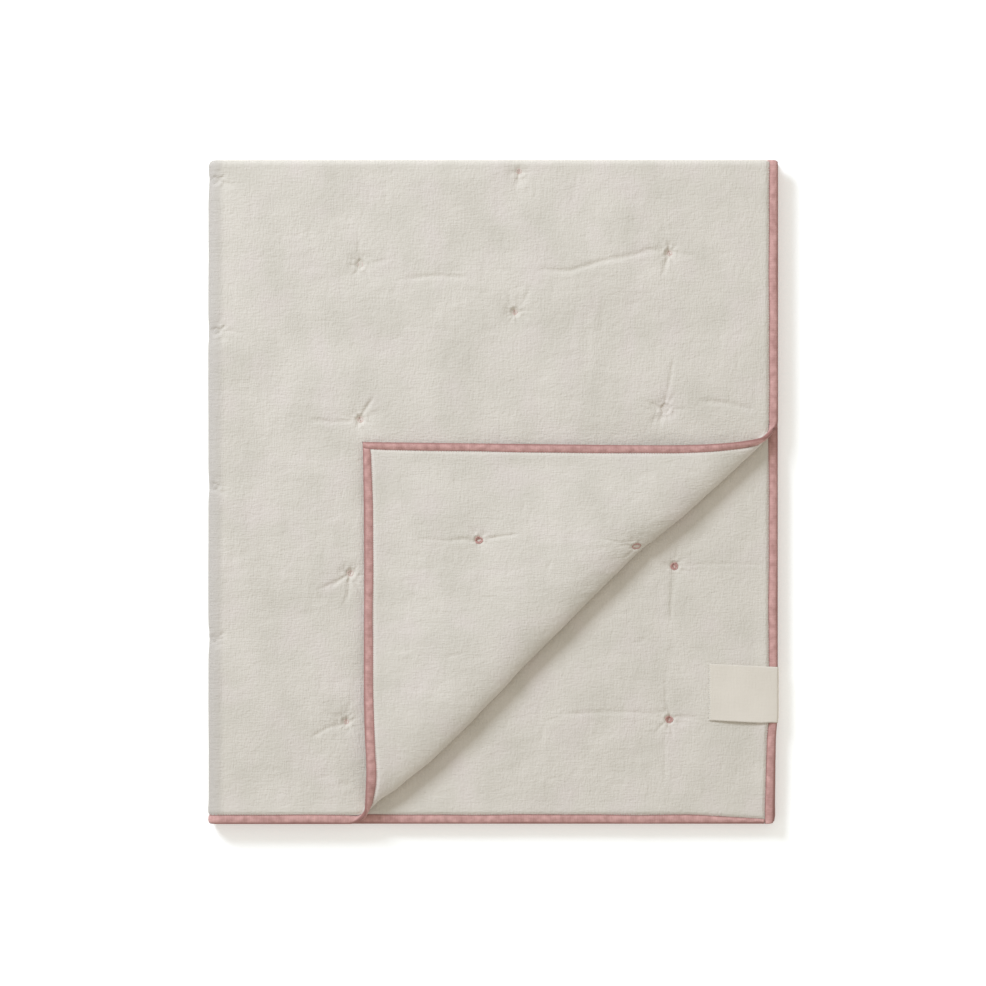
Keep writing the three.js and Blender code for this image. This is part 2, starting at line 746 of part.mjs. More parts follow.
// Section of the tape around the cloth's edge: out is the distance past the edge, then the offset
const tapeBend = tapeProud - 1.4;
const tapeOutline = [
  [-tapeWidth, -tapeInnerHalf],
  [-tapeWidth + 0.4, -tapeOuterHalf],
  [-tapeWidth / 2, -tapeOuterHalf],
  [tapeBend, -tapeOuterHalf],
  [tapeProud, -tapeOuterHalf / 2],
  [tapeProud, tapeOuterHalf / 2],
  [tapeBend, tapeOuterHalf],
  [-tapeWidth / 2, tapeOuterHalf],
  [-tapeWidth + 0.4, tapeOuterHalf],
  [-tapeWidth, tapeInnerHalf],
  [-tapeWidth / 2, tapeInnerHalf],
  [tapeEndGap, tapeInnerHalf],
  [tapeEndGap, -tapeInnerHalf],
  [-tapeWidth / 2, -tapeInnerHalf],
];

function sideTape(side) {
  const stations = edgeDown(side);
  stations[0] -= tapeProud;
  stations[stations.length - 1] += tapeProud;
  return sweep(stations, tapeOutline, (v, [out, offset]) => (
    folded(side * (halfAcross + out), v, side * offset)
  ));
}

// The tape's seen leaf on the second layer narrows towards the lower right corner
function tapeNarrowed(end, u) {
  return end < 0 ? tapeNarrowing * ease((u - halfAcross + tapeNarrowsOver) / tapeNarrowsOver) : 0;
}

function endTape(end) {
  const reach = halfAcross - tapeWidth - tapeMeeting;
  const stations = edgeAcross(end).filter((u) => Math.abs(u) < reach - 2);
  stations.unshift(-reach);
  stations.push(reach);
  return sweep(stations, tapeOutline, (u, [out, offset]) => {
    const leaf = offset < 0 ? tapeNarrowed(end, u) * clamp(-out / tapeWidth, 0, 1) : 0;
    return folded(u, end * (halfDown + out + leaf), -end * offset);
  });
}

// The label: one leaf on the second layer's upper face, round its bound edge, and a short leaf beneath
function labelSolid() {
  const inner = tapeOuterHalf + labelClearance;
  const outer = inner + labelThickness;
  const edge = tapeProud + labelClearance;
  const innerBend = edge - 0.9;
  const outerBend = edge - 0.6;
  const upperStops = [labelLength, 54, 38, 24, tapeWidth, 4];
  const outline = [
    ...upperStops.map((stop) => [-stop, -inner]),
    [innerBend, -inner],
    [edge, -inner / 2],
    [edge, inner / 2],
    [innerBend, inner],
    [-labelUnderLength, inner],
    [-labelUnderLength, outer],
    [outerBend, outer],
    [edge + labelThickness, inner / 2],
    [edge + labelThickness, -inner / 2],
    [outerBend, -outer],
    ...[...upperStops].reverse().map((stop) => [-stop, -outer]),
  ];
  const stations = Array.from({ length: labelRows + 1 }, (_, k) => k / labelRows);
  return sweep(stations, outline, (share, [out, offset]) => {
    const down = labelDown + labelWidth * share + labelSlant * (labelLength + out);
    const midway = Math.sin(Math.PI * clamp(-out / labelLength, 0, 1));
    const raised = offset < 0 ? labelLift * share ** 4 * midway : 0;
    return folded(halfAcross + out, -down, offset - raised);
  });
}

function mesh(name, { places, faces }, colour, roughness) {
  const positions = faces.flatMap((corners) => corners.flatMap((corner) => places[corner].toArray()));
  const geometry = new THREE.BufferGeometry();
  geometry.setAttribute('position', new THREE.Float32BufferAttribute(positions, 3));
  geometry.computeVertexNormals();
  const material = new THREE.MeshStandardMaterial({ color: colour, roughness, metalness: 0 });
  const piece = new THREE.Mesh(geometry, material);
  piece.name = name;
  return piece;
}

const quilt = new THREE.Group();
quilt.name = 'folded_quilt';
quilt.add(mesh('quilt', quiltSolid(), cottonColour, 0.95));
quilt.add(mesh('binding_right', sideTape(1), tapeColour, 0.8));
quilt.add(mesh('binding_left', sideTape(-1), tapeColour, 0.8));
quilt.add(mesh('binding_bottom', endTape(1), tapeColour, 0.8));
quilt.add(mesh('binding_top', endTape(-1), tapeColour, 0.8));
quilt.add(mesh('label', labelSolid(), labelColour, 0.85));

export default quilt;
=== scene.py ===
import math
from collections import namedtuple

import bpy
import numpy as np
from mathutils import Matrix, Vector
from mathutils.geometry import delaunay_2d_cdt


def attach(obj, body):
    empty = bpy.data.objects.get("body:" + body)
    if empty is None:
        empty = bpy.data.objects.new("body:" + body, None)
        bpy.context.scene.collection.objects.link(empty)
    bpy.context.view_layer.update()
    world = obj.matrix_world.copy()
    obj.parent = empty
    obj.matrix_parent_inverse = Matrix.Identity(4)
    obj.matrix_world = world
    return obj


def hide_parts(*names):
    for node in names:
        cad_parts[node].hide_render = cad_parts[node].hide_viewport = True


# A padded cotton quilt, folded in half at the top and again at the left, a corner of its top layer turned back.
# Sizes are in millimetres, and are turned into metres where a mesh is made.

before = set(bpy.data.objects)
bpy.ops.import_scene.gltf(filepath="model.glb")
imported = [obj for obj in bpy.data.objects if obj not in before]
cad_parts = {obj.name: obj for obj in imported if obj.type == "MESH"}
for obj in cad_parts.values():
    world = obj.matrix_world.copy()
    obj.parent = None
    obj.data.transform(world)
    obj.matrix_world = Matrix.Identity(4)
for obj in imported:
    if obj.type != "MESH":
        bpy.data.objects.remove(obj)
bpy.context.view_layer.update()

MM = 0.001
SEED = 41

# The folded quilt and its layers, as in the solids
FOLDED_WIDTH = 600.0
FOLDED_LENGTH = 699.0
CLOTH_THICKNESS = 4.6
LAYER_PITCH = 6.0
TAPE_WIDTH = 8.0
TAPE_PROUD = 1.5
BOUND_HALF = 0.7
BOUND_WIDTH = TAPE_WIDTH + 0.3
PADDING_START = 10.6
BESIDE_TAPE = 13.5
BESIDE_TAPE_REACH = 6.0
BESIDE_TAPE_FULLNESS = 0.3
TAPE_NARROWING = 4.6
TAPE_NARROWS_OVER = 95.0

# The turned corner: the roll of its crease, the low crest behind it, and how it lies
ROLL_RADIUS = 5.5
ROLL_SHORT_OF_FLAT = 0.45
CREST_RISE = 7.5
CREST_REACH = 16.0
CREASE_START = np.array([-139.4, -347.4])
CREASE_END = np.array([289.3, 56.0])
CORNER_REST_LIFT = LAYER_PITCH + 0.6
CORNER_SETTLE = 60.0
CORNER_EASE = 0.9722
SLIDE_START = 11.45
SLIDE_BOTTOM_SLOPE = 0.0749
SLIDE_BOTTOM_CURVE = 0.00018
SLIDE_BOTTOM_BACK = 11.02
SLIDE_BOTTOM_BACK_REACH = 23.7
SLIDE_RIGHT_RISE = 24.1
SLIDE_RIGHT_REACH = 20.6
SLIDE_RIGHT_SLOPE = 0.0678

ROUND_TOP_LEFT = 8.5
ROUND_TOP_RIGHT = 7.0
ROUND_BOTTOM_LEFT = 6.0
ROUND_CLOTH_CORNER = 5.5
ROUND_SHARE = 0.65

# Half hidden edges, and how far each lies in from the edge of the package
DRIFT_REACH = 240.0
BELOW_LABEL_START = 8
BELOW_LABEL_REACH = 30
AT_CORNER_POWER = 8
SECOND_IN_BELOW_LABEL = 1.9
SECOND_IN_AT_CORNER = 2.2
LOWER_IN_RIGHT = 2.4
LOWER_IN_BOTTOM = 1.8
LOWER_SWAY_RIGHT = 1.1
LOWER_SWAY_BOTTOM = 0.9
LOWER_WAVE_RIGHT = 95
LOWER_WAVE_BOTTOM = 80
LOWER_PROUD_AT_TOP = 0.8
LOWER_PROUD_REACH = 60

LABEL_LENGTH = 70.7
LABEL_UNDER_LENGTH = 28.0
LABEL_WIDTH = 60.0
LABEL_THICKNESS = 0.5
LABEL_DOWN = 529.5
LABEL_SLANT = 0.051
LABEL_LIFT = 1.8

TOP_RADIUS = LAYER_PITCH / 2
SIDE_RADIUS = LAYER_PITCH
HALF_CLOTH = CLOTH_THICKNESS / 2
STACK_MIDDLE = SIDE_RADIUS + TOP_RADIUS + HALF_CLOTH
SIDE_CENTRE = -FOLDED_WIDTH / 2 + STACK_MIDDLE
TOP_CENTRE = FOLDED_LENGTH / 2 - TOP_RADIUS - HALF_CLOTH
SIDE_TURN = SIDE_RADIUS * math.pi / 2
TOP_TURN = TOP_RADIUS * math.pi / 2
HALF_ACROSS = FOLDED_WIDTH / 2 - TAPE_PROUD - SIDE_CENTRE + SIDE_TURN
HALF_DOWN = FOLDED_LENGTH / 2 - TAPE_PROUD + TOP_CENTRE + TOP_TURN

# How far the seen line of the turned corner bows away from straight, along it from its lower end
CREASE_BOW = {
    "along": (0, 26, 57, 101, 152, 194, 240, 285, 335, 394, 432, 474, 540, 600),
    "bow": (0, -3.6, 1.2, 3.9, 2.9, 0.7, -1.6, -2.8, -5, -5.8, -3.9, -2.1, -1.4, -0.5),
}
BOW_REACH = 43.8

# Tacks, measured on the package from the left fold and from the top fold
Tack = namedtuple("Tack", "layer across down")
TACKS = [
    Tack("top", 160.5, 109.8),
    Tack("top", 160.5, 273.5),
    Tack("top", 150, 435),
    Tack("top", 145.7, 591.4),
    Tack("top", 323.1, 160.5),
    Tack("top", 485.8, 98.2),
    Tack("top", 481.5, 261.9),
    Tack("top", 327.4, 12),
    Tack("fold", 8, 21.6),
    Tack("fold", 9, 180.6),
    Tack("fold", 8, 344.3),
    Tack("fold", 7, 504.8),
    Tack("corner", 486.5, 578.1),
    Tack("corner", 471.2, 417.1),
    Tack("second", 491, 427.7),
    Tack("second", 485.8, 589.2),
]
UNDERSIDE_TACK_PITCH = 162.6
UNDERSIDE_COLUMNS = 3
UNDERSIDE_ROWS = 4
UNDERSIDE_STARTS = (0.9, 0.4)
TACK_PINCH = 0.5
TACK_REACH = 10.0

NORMAL_STEP = 0.05
FAR_OFF = 1e6
TINY = 1e-6
JUST_OVER_ONE = 1.001


def ease(value):
    share = np.clip(value, 0, 1)
    return share * share * (3 - 2 * share)


def bell(distance, reach):
    return np.exp(-((distance / reach) ** 2))


def linear(hex_colour):
    """An sRGB colour written as hex, as the linear colour that a shader takes."""
    parts = [int(hex_colour[k : k + 2], 16) / 255 for k in (1, 3, 5)]
    return [p / 12.92 if p <= 0.04045 else ((p + 0.055) / 1.055) ** 2.4 for p in parts] + [1.0]


# Folding of the open cloth. u is the distance across from the side fold, v the one down from the top fold.
CREASE_LENGTH = float(np.linalg.norm(CREASE_END - CREASE_START))
ALONG_X, ALONG_Y = (CREASE_END - CREASE_START) / CREASE_LENGTH
OUT_X, OUT_Y = ALONG_Y, -ALONG_X
ROLL_START = -(ROLL_RADIUS + HALF_CLOTH)
ROLL_ANGLE = math.pi - ROLL_SHORT_OF_FLAT
ROLL_TURN = ROLL_RADIUS * ROLL_ANGLE


def bow_at(along):
    places = np.array(CREASE_BOW["along"], float)
    bows = np.array(CREASE_BOW["bow"], float)
    after = np.clip(np.searchsorted(places, along, side="right"), 1, len(places) - 1)
    share = ease((along - places[after - 1]) / (places[after] - places[after - 1]))
    bow = bows[after - 1] + (bows[after] - bows[after - 1]) * share
    return np.where((along < places[0]) | (along >= places[-1]), 0, bow)


def from_crease(x, y):
    """How far along the crease, and how far past the start of its roll, a place of the flat top layer lies."""
    across, up = x - CREASE_START[0], y - CREASE_START[1]
    return across * ALONG_X + up * ALONG_Y, across * OUT_X + up * OUT_Y - ROLL_START


def in_plan(u, v):
    """Where a place of the cloth lies in plan while the layer is flat."""
    return SIDE_CENTRE + u - SIDE_TURN, TOP_CENTRE + TOP_TURN - v


def past_crease(u, v):
    return from_crease(*in_plan(u, v))[1]


def bias_slide(along, past):
    out = past + ROLL_START
    lowest = (-FOLDED_LENGTH / 2 - CREASE_START[1] - OUT_Y * out) / ALONG_Y
    highest = (FOLDED_WIDTH / 2 - CREASE_START[0] - OUT_X * out) / ALONG_X
    share = np.clip((along - lowest) / np.maximum(highest - lowest, 1), 0, 1)
    back = SLIDE_BOTTOM_BACK * past / SLIDE_BOTTOM_BACK_REACH * np.exp(1 - past / SLIDE_BOTTOM_BACK_REACH)
    beside_bottom = SLIDE_BOTTOM_SLOPE * past + SLIDE_BOTTOM_CURVE * past * past - back
    beside_right = SLIDE_RIGHT_RISE * (1 - np.exp(-past / SLIDE_RIGHT_REACH)) + SLIDE_RIGHT_SLOPE * past
    return (beside_bottom + (beside_right - beside_bottom) * share) * ease(past / SLIDE_START)


def turn_corner(x, y, z):
    along, past = from_crease(x, y)
    rolled = np.maximum(past, 0)
    angle = np.minimum(rolled / ROLL_RADIUS, ROLL_ANGLE)
    beyond = np.maximum(rolled - ROLL_TURN, 0)
    taken_up = CREST_RISE**2 / CREST_REACH / 4 * (1 - np.exp(-2 * beyond / CREST_REACH))
    turned_out = ROLL_START + ROLL_RADIUS * np.sin(angle) - beyond * CORNER_EASE + taken_up
    out = np.where(past > 0, turned_out, past + ROLL_START)
    settled = 1 - (1 + beyond / CORNER_SETTLE) * np.exp(-beyond / CORNER_SETTLE)
    lift = ROLL_RADIUS * (1 - np.cos(angle)) + CREST_RISE * (1 - np.exp(-beyond / CREST_REACH))
    lift = lift + (CORNER_REST_LIFT - lift) * settled
    slide = bias_slide(along, rolled)
    out = out + bow_at(along - slide) * bell(out, BOW_REACH)
    new_x = CREASE_START[0] + (along - slide) * ALONG_X + out * OUT_X
    new_y = CREASE_START[1] + (along - slide) * ALONG_Y + out * OUT_Y
    return new_x, new_y, z + lift


def rounded(across, down, radius):
    """Draws a square corner in to a round one; across and down are distances past where the rounding starts."""
    inside = (across > 0) & (down > 0)
    a = np.where(inside, across, 0) / radius
    b = np.where(inside, down, 0) / radius
    round_across = radius * a * np.sqrt(np.maximum(1 - b * b / 2, 0))
    round_down = radius * b * np.sqrt(np.maximum(1 - a * a / 2, 0))
    return (
        np.where(inside, across + (round_across - across) * ROUND_SHARE, across),
        np.where(inside, down + (round_down - down) * ROUND_SHARE, down),
    )


def round_package_corner(x, y, side, end, radius):
    edge_x, edge_y = FOLDED_WIDTH / 2 - radius, FOLDED_LENGTH / 2 - radius
    across, down = rounded(x * side - edge_x, y * end - edge_y, radius)
    return (edge_x + across) * side, (edge_y + down) * end


def round_cloth(u, v):
    edge_u = HALF_ACROSS + TAPE_PROUD - ROUND_CLOTH_CORNER
    edge_v = HALF_DOWN + TAPE_PROUD - ROUND_CLOTH_CORNER
    across, down = rounded(np.abs(u) - edge_u, np.abs(v) - edge_v, ROUND_CLOTH_CORNER)
    return (edge_u + across) * np.sign(u), (edge_v + down) * np.sign(v)


def drift_edges(x, y, u, v):
    near_right = ease((np.abs(u) - HALF_ACROSS + DRIFT_REACH) / DRIFT_REACH)
    near_bottom = ease((np.abs(v) - HALF_DOWN + DRIFT_REACH) / DRIFT_REACH)
    below_label = ease((-v - LABEL_DOWN - LABEL_WIDTH + BELOW_LABEL_START) / BELOW_LABEL_REACH)
    second = (u > 0) & (v < 0)
    at_corner = near_bottom**AT_CORNER_POWER
    x = x - second * near_right * (SECOND_IN_BELOW_LABEL * below_label + SECOND_IN_AT_CORNER * at_corner)
    lower = u < 0
    sway = np.where(v < 0, 1, -1)
    x = x - lower * near_right * (LOWER_IN_RIGHT + LOWER_SWAY_RIGHT * np.sin(v / LOWER_WAVE_RIGHT + sway))
    y = y + lower * near_bottom * (LOWER_IN_BOTTOM + LOWER_SWAY_BOTTOM * np.sin(u / LOWER_WAVE_BOTTOM + sway))
    near_top = ease((LOWER_PROUD_REACH - np.abs(v)) / LOWER_PROUD_REACH)
    y = y + lower * LOWER_PROUD_AT_TOP * ease(-u / LOWER_PROUD_REACH) * near_top
    return x, y


def middle(u_flat, v_flat):
    """Place of the middle of the folded cloth."""
    u, v = round_cloth(u_flat, v_flat)
    top_angle = np.clip(v / TOP_RADIUS, -math.pi / 2, math.pi / 2)
    side_angle = np.clip(u / SIDE_RADIUS, -math.pi / 2, math.pi / 2)
    from_side = SIDE_RADIUS + TOP_RADIUS * np.sin(top_angle)
    x = SIDE_CENTRE - from_side * np.cos(side_angle) + np.maximum(np.abs(u) - SIDE_TURN, 0)
    y = TOP_CENTRE + TOP_RADIUS * np.cos(top_angle) - np.maximum(np.abs(v) - TOP_TURN, 0)
    z = STACK_MIDDLE + from_side * np.sin(side_angle)
    x, y = drift_edges(x, y, u, v)
    turning = (u > SIDE_TURN) & (v > TOP_TURN)
    x, y, z = (np.where(turning, new, old) for new, old in zip(turn_corner(x, y, z), (x, y, z)))
    for side, end, radius in ((-1, 1, ROUND_TOP_LEFT), (1, 1, ROUND_TOP_RIGHT), (-1, -1, ROUND_BOTTOM_LEFT)):
        x, y = round_package_corner(x, y, side, end, radius)
    return np.stack([x, y, z], axis=-1)


def outward(u, v):
    """The way that the quilt's outer face looks."""
    along_u = middle(u + NORMAL_STEP, v) - middle(u - NORMAL_STEP, v)
    along_v = middle(u, v + NORMAL_STEP) - middle(u, v - NORMAL_STEP)
    normal = np.cross(along_v, along_u)
    return normal / np.linalg.norm(normal, axis=-1, keepdims=True)


def on_cloth(layer, across, down):
    """Place on the open cloth of a place measured on the package."""
    u = np.asarray(across, float) - FOLDED_WIDTH / 2 - SIDE_CENTRE + SIDE_TURN
    v = np.asarray(down, float) - FOLDED_LENGTH / 2 + TOP_CENTRE + TOP_TURN
    return (-u if layer == "under" else u), (-v if layer == "second" else v)


def underside_tacks():
    pitch = UNDERSIDE_TACK_PITCH
    return [
        Tack("under", (column + 1) * pitch, (row + UNDERSIDE_STARTS[column % 2]) * pitch)
        for column in range(UNDERSIDE_COLUMNS)
        for row in range(UNDERSIDE_ROWS)
    ]


ALL_TACKS = TACKS + underside_tacks()
TACK_PLACES = np.array([on_cloth(*tack) for tack in ALL_TACKS])


def nearest_tack(u, v):
    nearest = np.full(np.shape(u), FAR_OFF)
    for tack_u, tack_v in TACK_PLACES:
        nearest = np.minimum(nearest, np.hypot(u - tack_u, v - tack_v))
    return nearest


def tape_narrowed(end, u):
    """The seen leaf of the tape on the second layer narrows towards the lower right corner."""
    return TAPE_NARROWING * ease((u - HALF_ACROSS + TAPE_NARROWS_OVER) / TAPE_NARROWS_OVER) * (end < 0)


def half_thickness(u, v):
    """Half the thickness: full padding in the open, pressed thin at the bound edges, pinched at each tack."""
    from_end = HALF_DOWN - np.abs(v) + np.where(v < 0, tape_narrowed(-1, u), 0)
    from_edge = np.minimum(HALF_ACROSS - np.abs(u), from_end)
    padded = ease((from_edge - BOUND_WIDTH) / (PADDING_START - BOUND_WIDTH))
    half = BOUND_HALF + (HALF_CLOTH - BOUND_HALF) * padded
    half = half + BESIDE_TAPE_FULLNESS * padded * bell(from_edge - BESIDE_TAPE, BESIDE_TAPE_REACH)
    return half * (1 - TACK_PINCH * bell(nearest_tack(u, v), TACK_REACH))


# Relief of the three faces that show: the top layer, the turned corner and the second layer. Each is a field
# of heights over one quarter of the open cloth.
RELIEF_PITCH = 1.1
RELIEF_SHAPE = (int(HALF_DOWN / RELIEF_PITCH) + 2, int(HALF_ACROSS / RELIEF_PITCH) + 2)
FIELD_V, FIELD_U = np.meshgrid(
    np.arange(RELIEF_SHAPE[0]) * RELIEF_PITCH, np.arange(RELIEF_SHAPE[1]) * RELIEF_PITCH, indexing="ij"
)


def soft_noise(draw, reach_across, reach_down):
    """Even noise, smoothed over these distances, with a usual height of 1."""
    rows, columns = RELIEF_SHAPE
    waves_down = np.fft.fftfreq(rows, RELIEF_PITCH)[:, None]
    waves_across = np.fft.rfftfreq(columns, RELIEF_PITCH)[None, :]
    keep = np.exp(-2 * (math.pi**2) * ((waves_down * reach_down) ** 2 + (waves_across * reach_across) ** 2))
    noise = np.fft.irfft2(np.fft.rfft2(draw.standard_normal(RELIEF_SHAPE)) * keep, s=RELIEF_SHAPE)
    return (noise - noise.mean()) / noise.std()


CREASE_CLEAR = 2.5
CREASE_END_SHARE = 0.15


def along_line(u, v, line):
    """Distance to a bent line, how far along it the nearest place lies, and the line's whole length."""
    nearest, run_at, run = np.full(u.shape, FAR_OFF), np.zeros(u.shape), 0.0
    for start, end in zip(line[:-1], line[1:]):
        length = max(math.dist(start, end), TINY)
        step = (end - start) / length
        share = np.clip((u - start[0]) * step[0] + (v - start[1]) * step[1], 0, length)
        away = np.hypot(u - start[0] - step[0] * share, v - start[1] - step[1] * share)
        run_at = np.where(away < nearest, run + share, run_at)
        nearest = np.minimum(nearest, away)
        run += length
    return nearest, run_at, run


def draw_crease(field, across, down, depth, width, taper=0.25):
    """Presses a trough (or raises a ridge, where depth is below zero) along a bent line of places."""
    line = np.stack([across, down], axis=1).astype(float)
    low = np.floor((line.min(axis=0) - CREASE_CLEAR * width) / RELIEF_PITCH).astype(int)
    high = np.ceil((line.max(axis=0) + CREASE_CLEAR * width) / RELIEF_PITCH).astype(int)
    columns, rows = (slice(max(low[axis], 0), max(high[axis], 0)) for axis in (0, 1))
    nearest, run_at, whole = along_line(FIELD_U[rows, columns], FIELD_V[rows, columns], line)
    ends = np.minimum(run_at, whole - run_at) / whole
    field[rows, columns] -= depth * bell(nearest, width / 2) * ease(CREASE_END_SHARE + ends / taper)


def field_at(field, u, v):
    """Height of the field at places of the cloth, smoothly between its rows and columns."""
    column = np.clip(u / RELIEF_PITCH, 0, RELIEF_SHAPE[1] - JUST_OVER_ONE)
    row = np.clip(v / RELIEF_PITCH, 0, RELIEF_SHAPE[0] - JUST_OVER_ONE)
    c, r = column.astype(int), row.astype(int)
    part_c, part_r = column - c, row - r
    above = field[r, c] * (1 - part_c) + field[r, c + 1] * part_c
    below = field[r + 1, c] * (1 - part_c) + field[r + 1, c + 1] * part_c
    return above * (1 - part_r) + below * part_r


# Main creases, measured on the package in millimetres from the left fold and from the top fold
Crease = namedtuple("Crease", "face across down depth width")
MAIN_CREASES = [
    Crease("top", (205, 240, 279), (125, 122, 124), depth=0.9, width=5.4),
    Crease("top", (346, 381, 413, 452, 479), (116, 117, 107, 99, 91), depth=1.2, width=5.4),
    Crease("top", (486, 482, 478), (86, 107, 124), depth=0.9, width=4.1),
    Crease("top", (491, 485, 481, 474), (203, 239, 258, 287), depth=0.9, width=4.1),
    Crease("top", (516, 547, 575), (253, 256, 264), depth=1.0, width=6.1),
    Crease("top", (464, 481), (258, 262), depth=0.9, width=4.1),
    Crease("top", (107, 130, 158), (273, 276, 274), depth=0.9, width=4.8),
    Crease("top", (160, 166, 175), (272, 262, 250), depth=0.8, width=3.4),
    Crease("top", (117, 135, 149), (452, 444, 436), depth=0.9, width=4.1),
    Crease("top", (143, 148, 150), (470, 455, 437), depth=0.8, width=3.4),
    Crease("top", (108, 126, 145), (608, 598, 592), depth=0.8, width=4.1),
    Crease("top", (139, 148, 151), (655, 658, 654), depth=0.6, width=6.1),
    Crease("second", (489, 488, 487), (436, 460, 489), depth=0.9, width=3.4),
    Crease("second", (495, 540, 589), (427, 425, 426), depth=0.5, width=2.7),
    Crease("second", (366, 425, 482), (584, 581, 583), depth=0.8, width=4.8),
    Crease("second", (490, 512, 526), (586, 587, 594), depth=0.7, width=4.1),
    Crease("second", (482, 482), (536, 584), depth=0.5, width=3.4),
    Crease("second", (482, 483), (598, 661), depth=0.5, width=4.1),
    Crease("corner", (293, 311, 328), (397, 396, 394), depth=1.0, width=3.4),
    Crease("corner", (218, 250, 283), (398, 402, 400), depth=0.6, width=4.1),
    Crease("corner", (415, 440), (398, 404), depth=0.6, width=3.4),
]


LOOKUP_FROM_DOWN = 220
LOOKUP_FROM_ACROSS = 150
LOOKUP_PITCH = 2.5


def corner_lookup():
    """Places of the turned corner's cloth and where they lie in plan, to find the cloth at a place in plan."""
    rows = np.arange(LOOKUP_FROM_DOWN, HALF_DOWN, LOOKUP_PITCH)
    columns = np.arange(LOOKUP_FROM_ACROSS, HALF_ACROSS, LOOKUP_PITCH)
    v, u = np.meshgrid(rows, columns, indexing="ij")
    on_corner = past_crease(u, v) > ROLL_TURN
    u, v = u[on_corner], v[on_corner]
    lies = middle(u, v)
    return u, v, lies[:, 0] + FOLDED_WIDTH / 2, FOLDED_LENGTH / 2 - lies[:, 1]


CORNER_U, CORNER_V, CORNER_ACROSS, CORNER_DOWN = corner_lookup()


def cloth_of(face, across, down):
    """Place in the face's relief field of places measured on the package."""
    if face != "corner":
        return on_cloth("top", across, down)
    found = [np.argmin(np.hypot(CORNER_ACROSS - a, CORNER_DOWN - d)) for a, d in zip(across, down)]
    return CORNER_U[found], CORNER_V[found]


# Small creases that run out of each tack
RAY_COUNT = (9, 13)
RAY_SPREAD = (-0.35, 0.35)
SHORT_RAY = (9, 17)
LONG_RAY = (20, 34)
SHORT_RAY_SHARE = 0.7
RAY_BEND = (-0.3, 0.3)
RAY_START = 3.0
RAY_DEPTH = (0.5, 1.15)
RAY_WIDTH = (2.8, 4.4)
RAY_TAPER = 0.6


def tack_rays(field, draw, centres):
    """The small creases that run out of each tack, where its thread draws the cloth together."""
    for u, v in centres:
        count = draw.integers(*RAY_COUNT)
        turns = (np.arange(count) + draw.uniform(*RAY_SPREAD, count)) * 2 * math.pi / count
        for turn in turns:
            short = draw.random() < SHORT_RAY_SHARE
            reach = draw.uniform(*(SHORT_RAY if short else LONG_RAY))
            bend = draw.uniform(*RAY_BEND)
            steps = np.array([RAY_START, 0.5 * reach, reach])
            across = u + steps * np.cos(turn + bend * steps / reach)
            down = v + steps * np.sin(turn + bend * steps / reach)
            draw_crease(field, across, down, draw.uniform(*RAY_DEPTH), draw.uniform(*RAY_WIDTH), RAY_TAPER)


CRINKLE_COUNT = 2600
CRINKLE_LENGTH = (7, 26)
CRINKLE_SWING = 0.16
CRINKLE_BOW = (-0.12, 0.12)
CRINKLE_DEPTH = (0.06, 0.34)
CRINKLE_RIDGE_SHARE = -0.6
CRINKLE_WIDTH = (2.6, 4.6)
CRINKLE_TAPER = 0.45


def crinkles(field, draw):
    """The small dents that washing leaves in thin cotton, most of them along one of its two threads."""
    for _ in range(CRINKLE_COUNT):
        length = draw.uniform(*CRINKLE_LENGTH)
        turn = draw.normal(0, CRINKLE_SWING) + (math.pi / 2 if draw.random() < 0.5 else 0)
        u, v = draw.uniform(0, HALF_ACROSS), draw.uniform(0, HALF_DOWN)
        steps = np.array([-0.5, 0.0, 0.5]) * length
        bow = draw.uniform(*CRINKLE_BOW) * length
        across = u + steps * math.cos(turn) - np.array([0, bow, 0]) * math.sin(turn)
        down = v + steps * math.sin(turn) + np.array([0, bow, 0]) * math.cos(turn)
        depth = draw.uniform(*CRINKLE_DEPTH) * draw.choice([1, CRINKLE_RIDGE_SHARE])
        draw_crease(field, across, down, depth, draw.uniform(*CRINKLE_WIDTH), CRINKLE_TAPER)


# The padding's slow swell and the cloth's own fine unevenness, which comes and goes in patches
Wave = namedtuple("Wave", "height across down")
SWELL = [Wave(0.42, 34, 30), Wave(0.14, 13, 10)]
FINE_WAVES = [Wave(0.05, 7, 2.1), Wave(0.05, 2.1, 7), Wave(0.03, 2.4, 2.4)]
PATCH_REACH = 30
FINE_LEAST = 0.3
FINE_MORE = 1.1
FULLNESS = 0.25
DISH_DEPTH = 0.6
DISH_REACHES = (24, 8)
LOWEST = -1.9
HIGHEST = 1.3


def waves(draw, rows):
    return sum(row.height * soft_noise(draw, row.across, row.down) for row in rows)


def face_relief(face, tacks):
    draw = np.random.default_rng(SEED + len(face))
    field = waves(draw, SWELL)
    patchy = ease(0.5 + 0.5 * soft_noise(draw, PATCH_REACH, PATCH_REACH))
    field += waves(draw, FINE_WAVES) * (FINE_LEAST + FINE_MORE * patchy)
    crinkles(field, draw)
    for row in MAIN_CREASES:
        if row.face == face:
            across, down = cloth_of(face, row.across, row.down)
            draw_crease(field, across, down, row.depth, row.width)
    distance = np.full(RELIEF_SHAPE, FAR_OFF)
    for u, v in tacks:
        distance = np.minimum(distance, np.hypot(FIELD_U - u, FIELD_V - v))
    field += FULLNESS - DISH_DEPTH * sum(bell(distance, reach) for reach in DISH_REACHES)
    tack_rays(field, draw, tacks)
    return np.clip(field, LOWEST, HIGHEST)


def tacks_of(*layers):
    return [(abs(u), abs(v)) for tack, (u, v) in zip(ALL_TACKS, TACK_PLACES) if tack.layer in layers]


TOP_RELIEF = face_relief("top", tacks_of("top", "fold"))
CORNER_RELIEF = face_relief("corner", tacks_of("corner"))
SECOND_RELIEF = face_relief("second", tacks_of("second"))


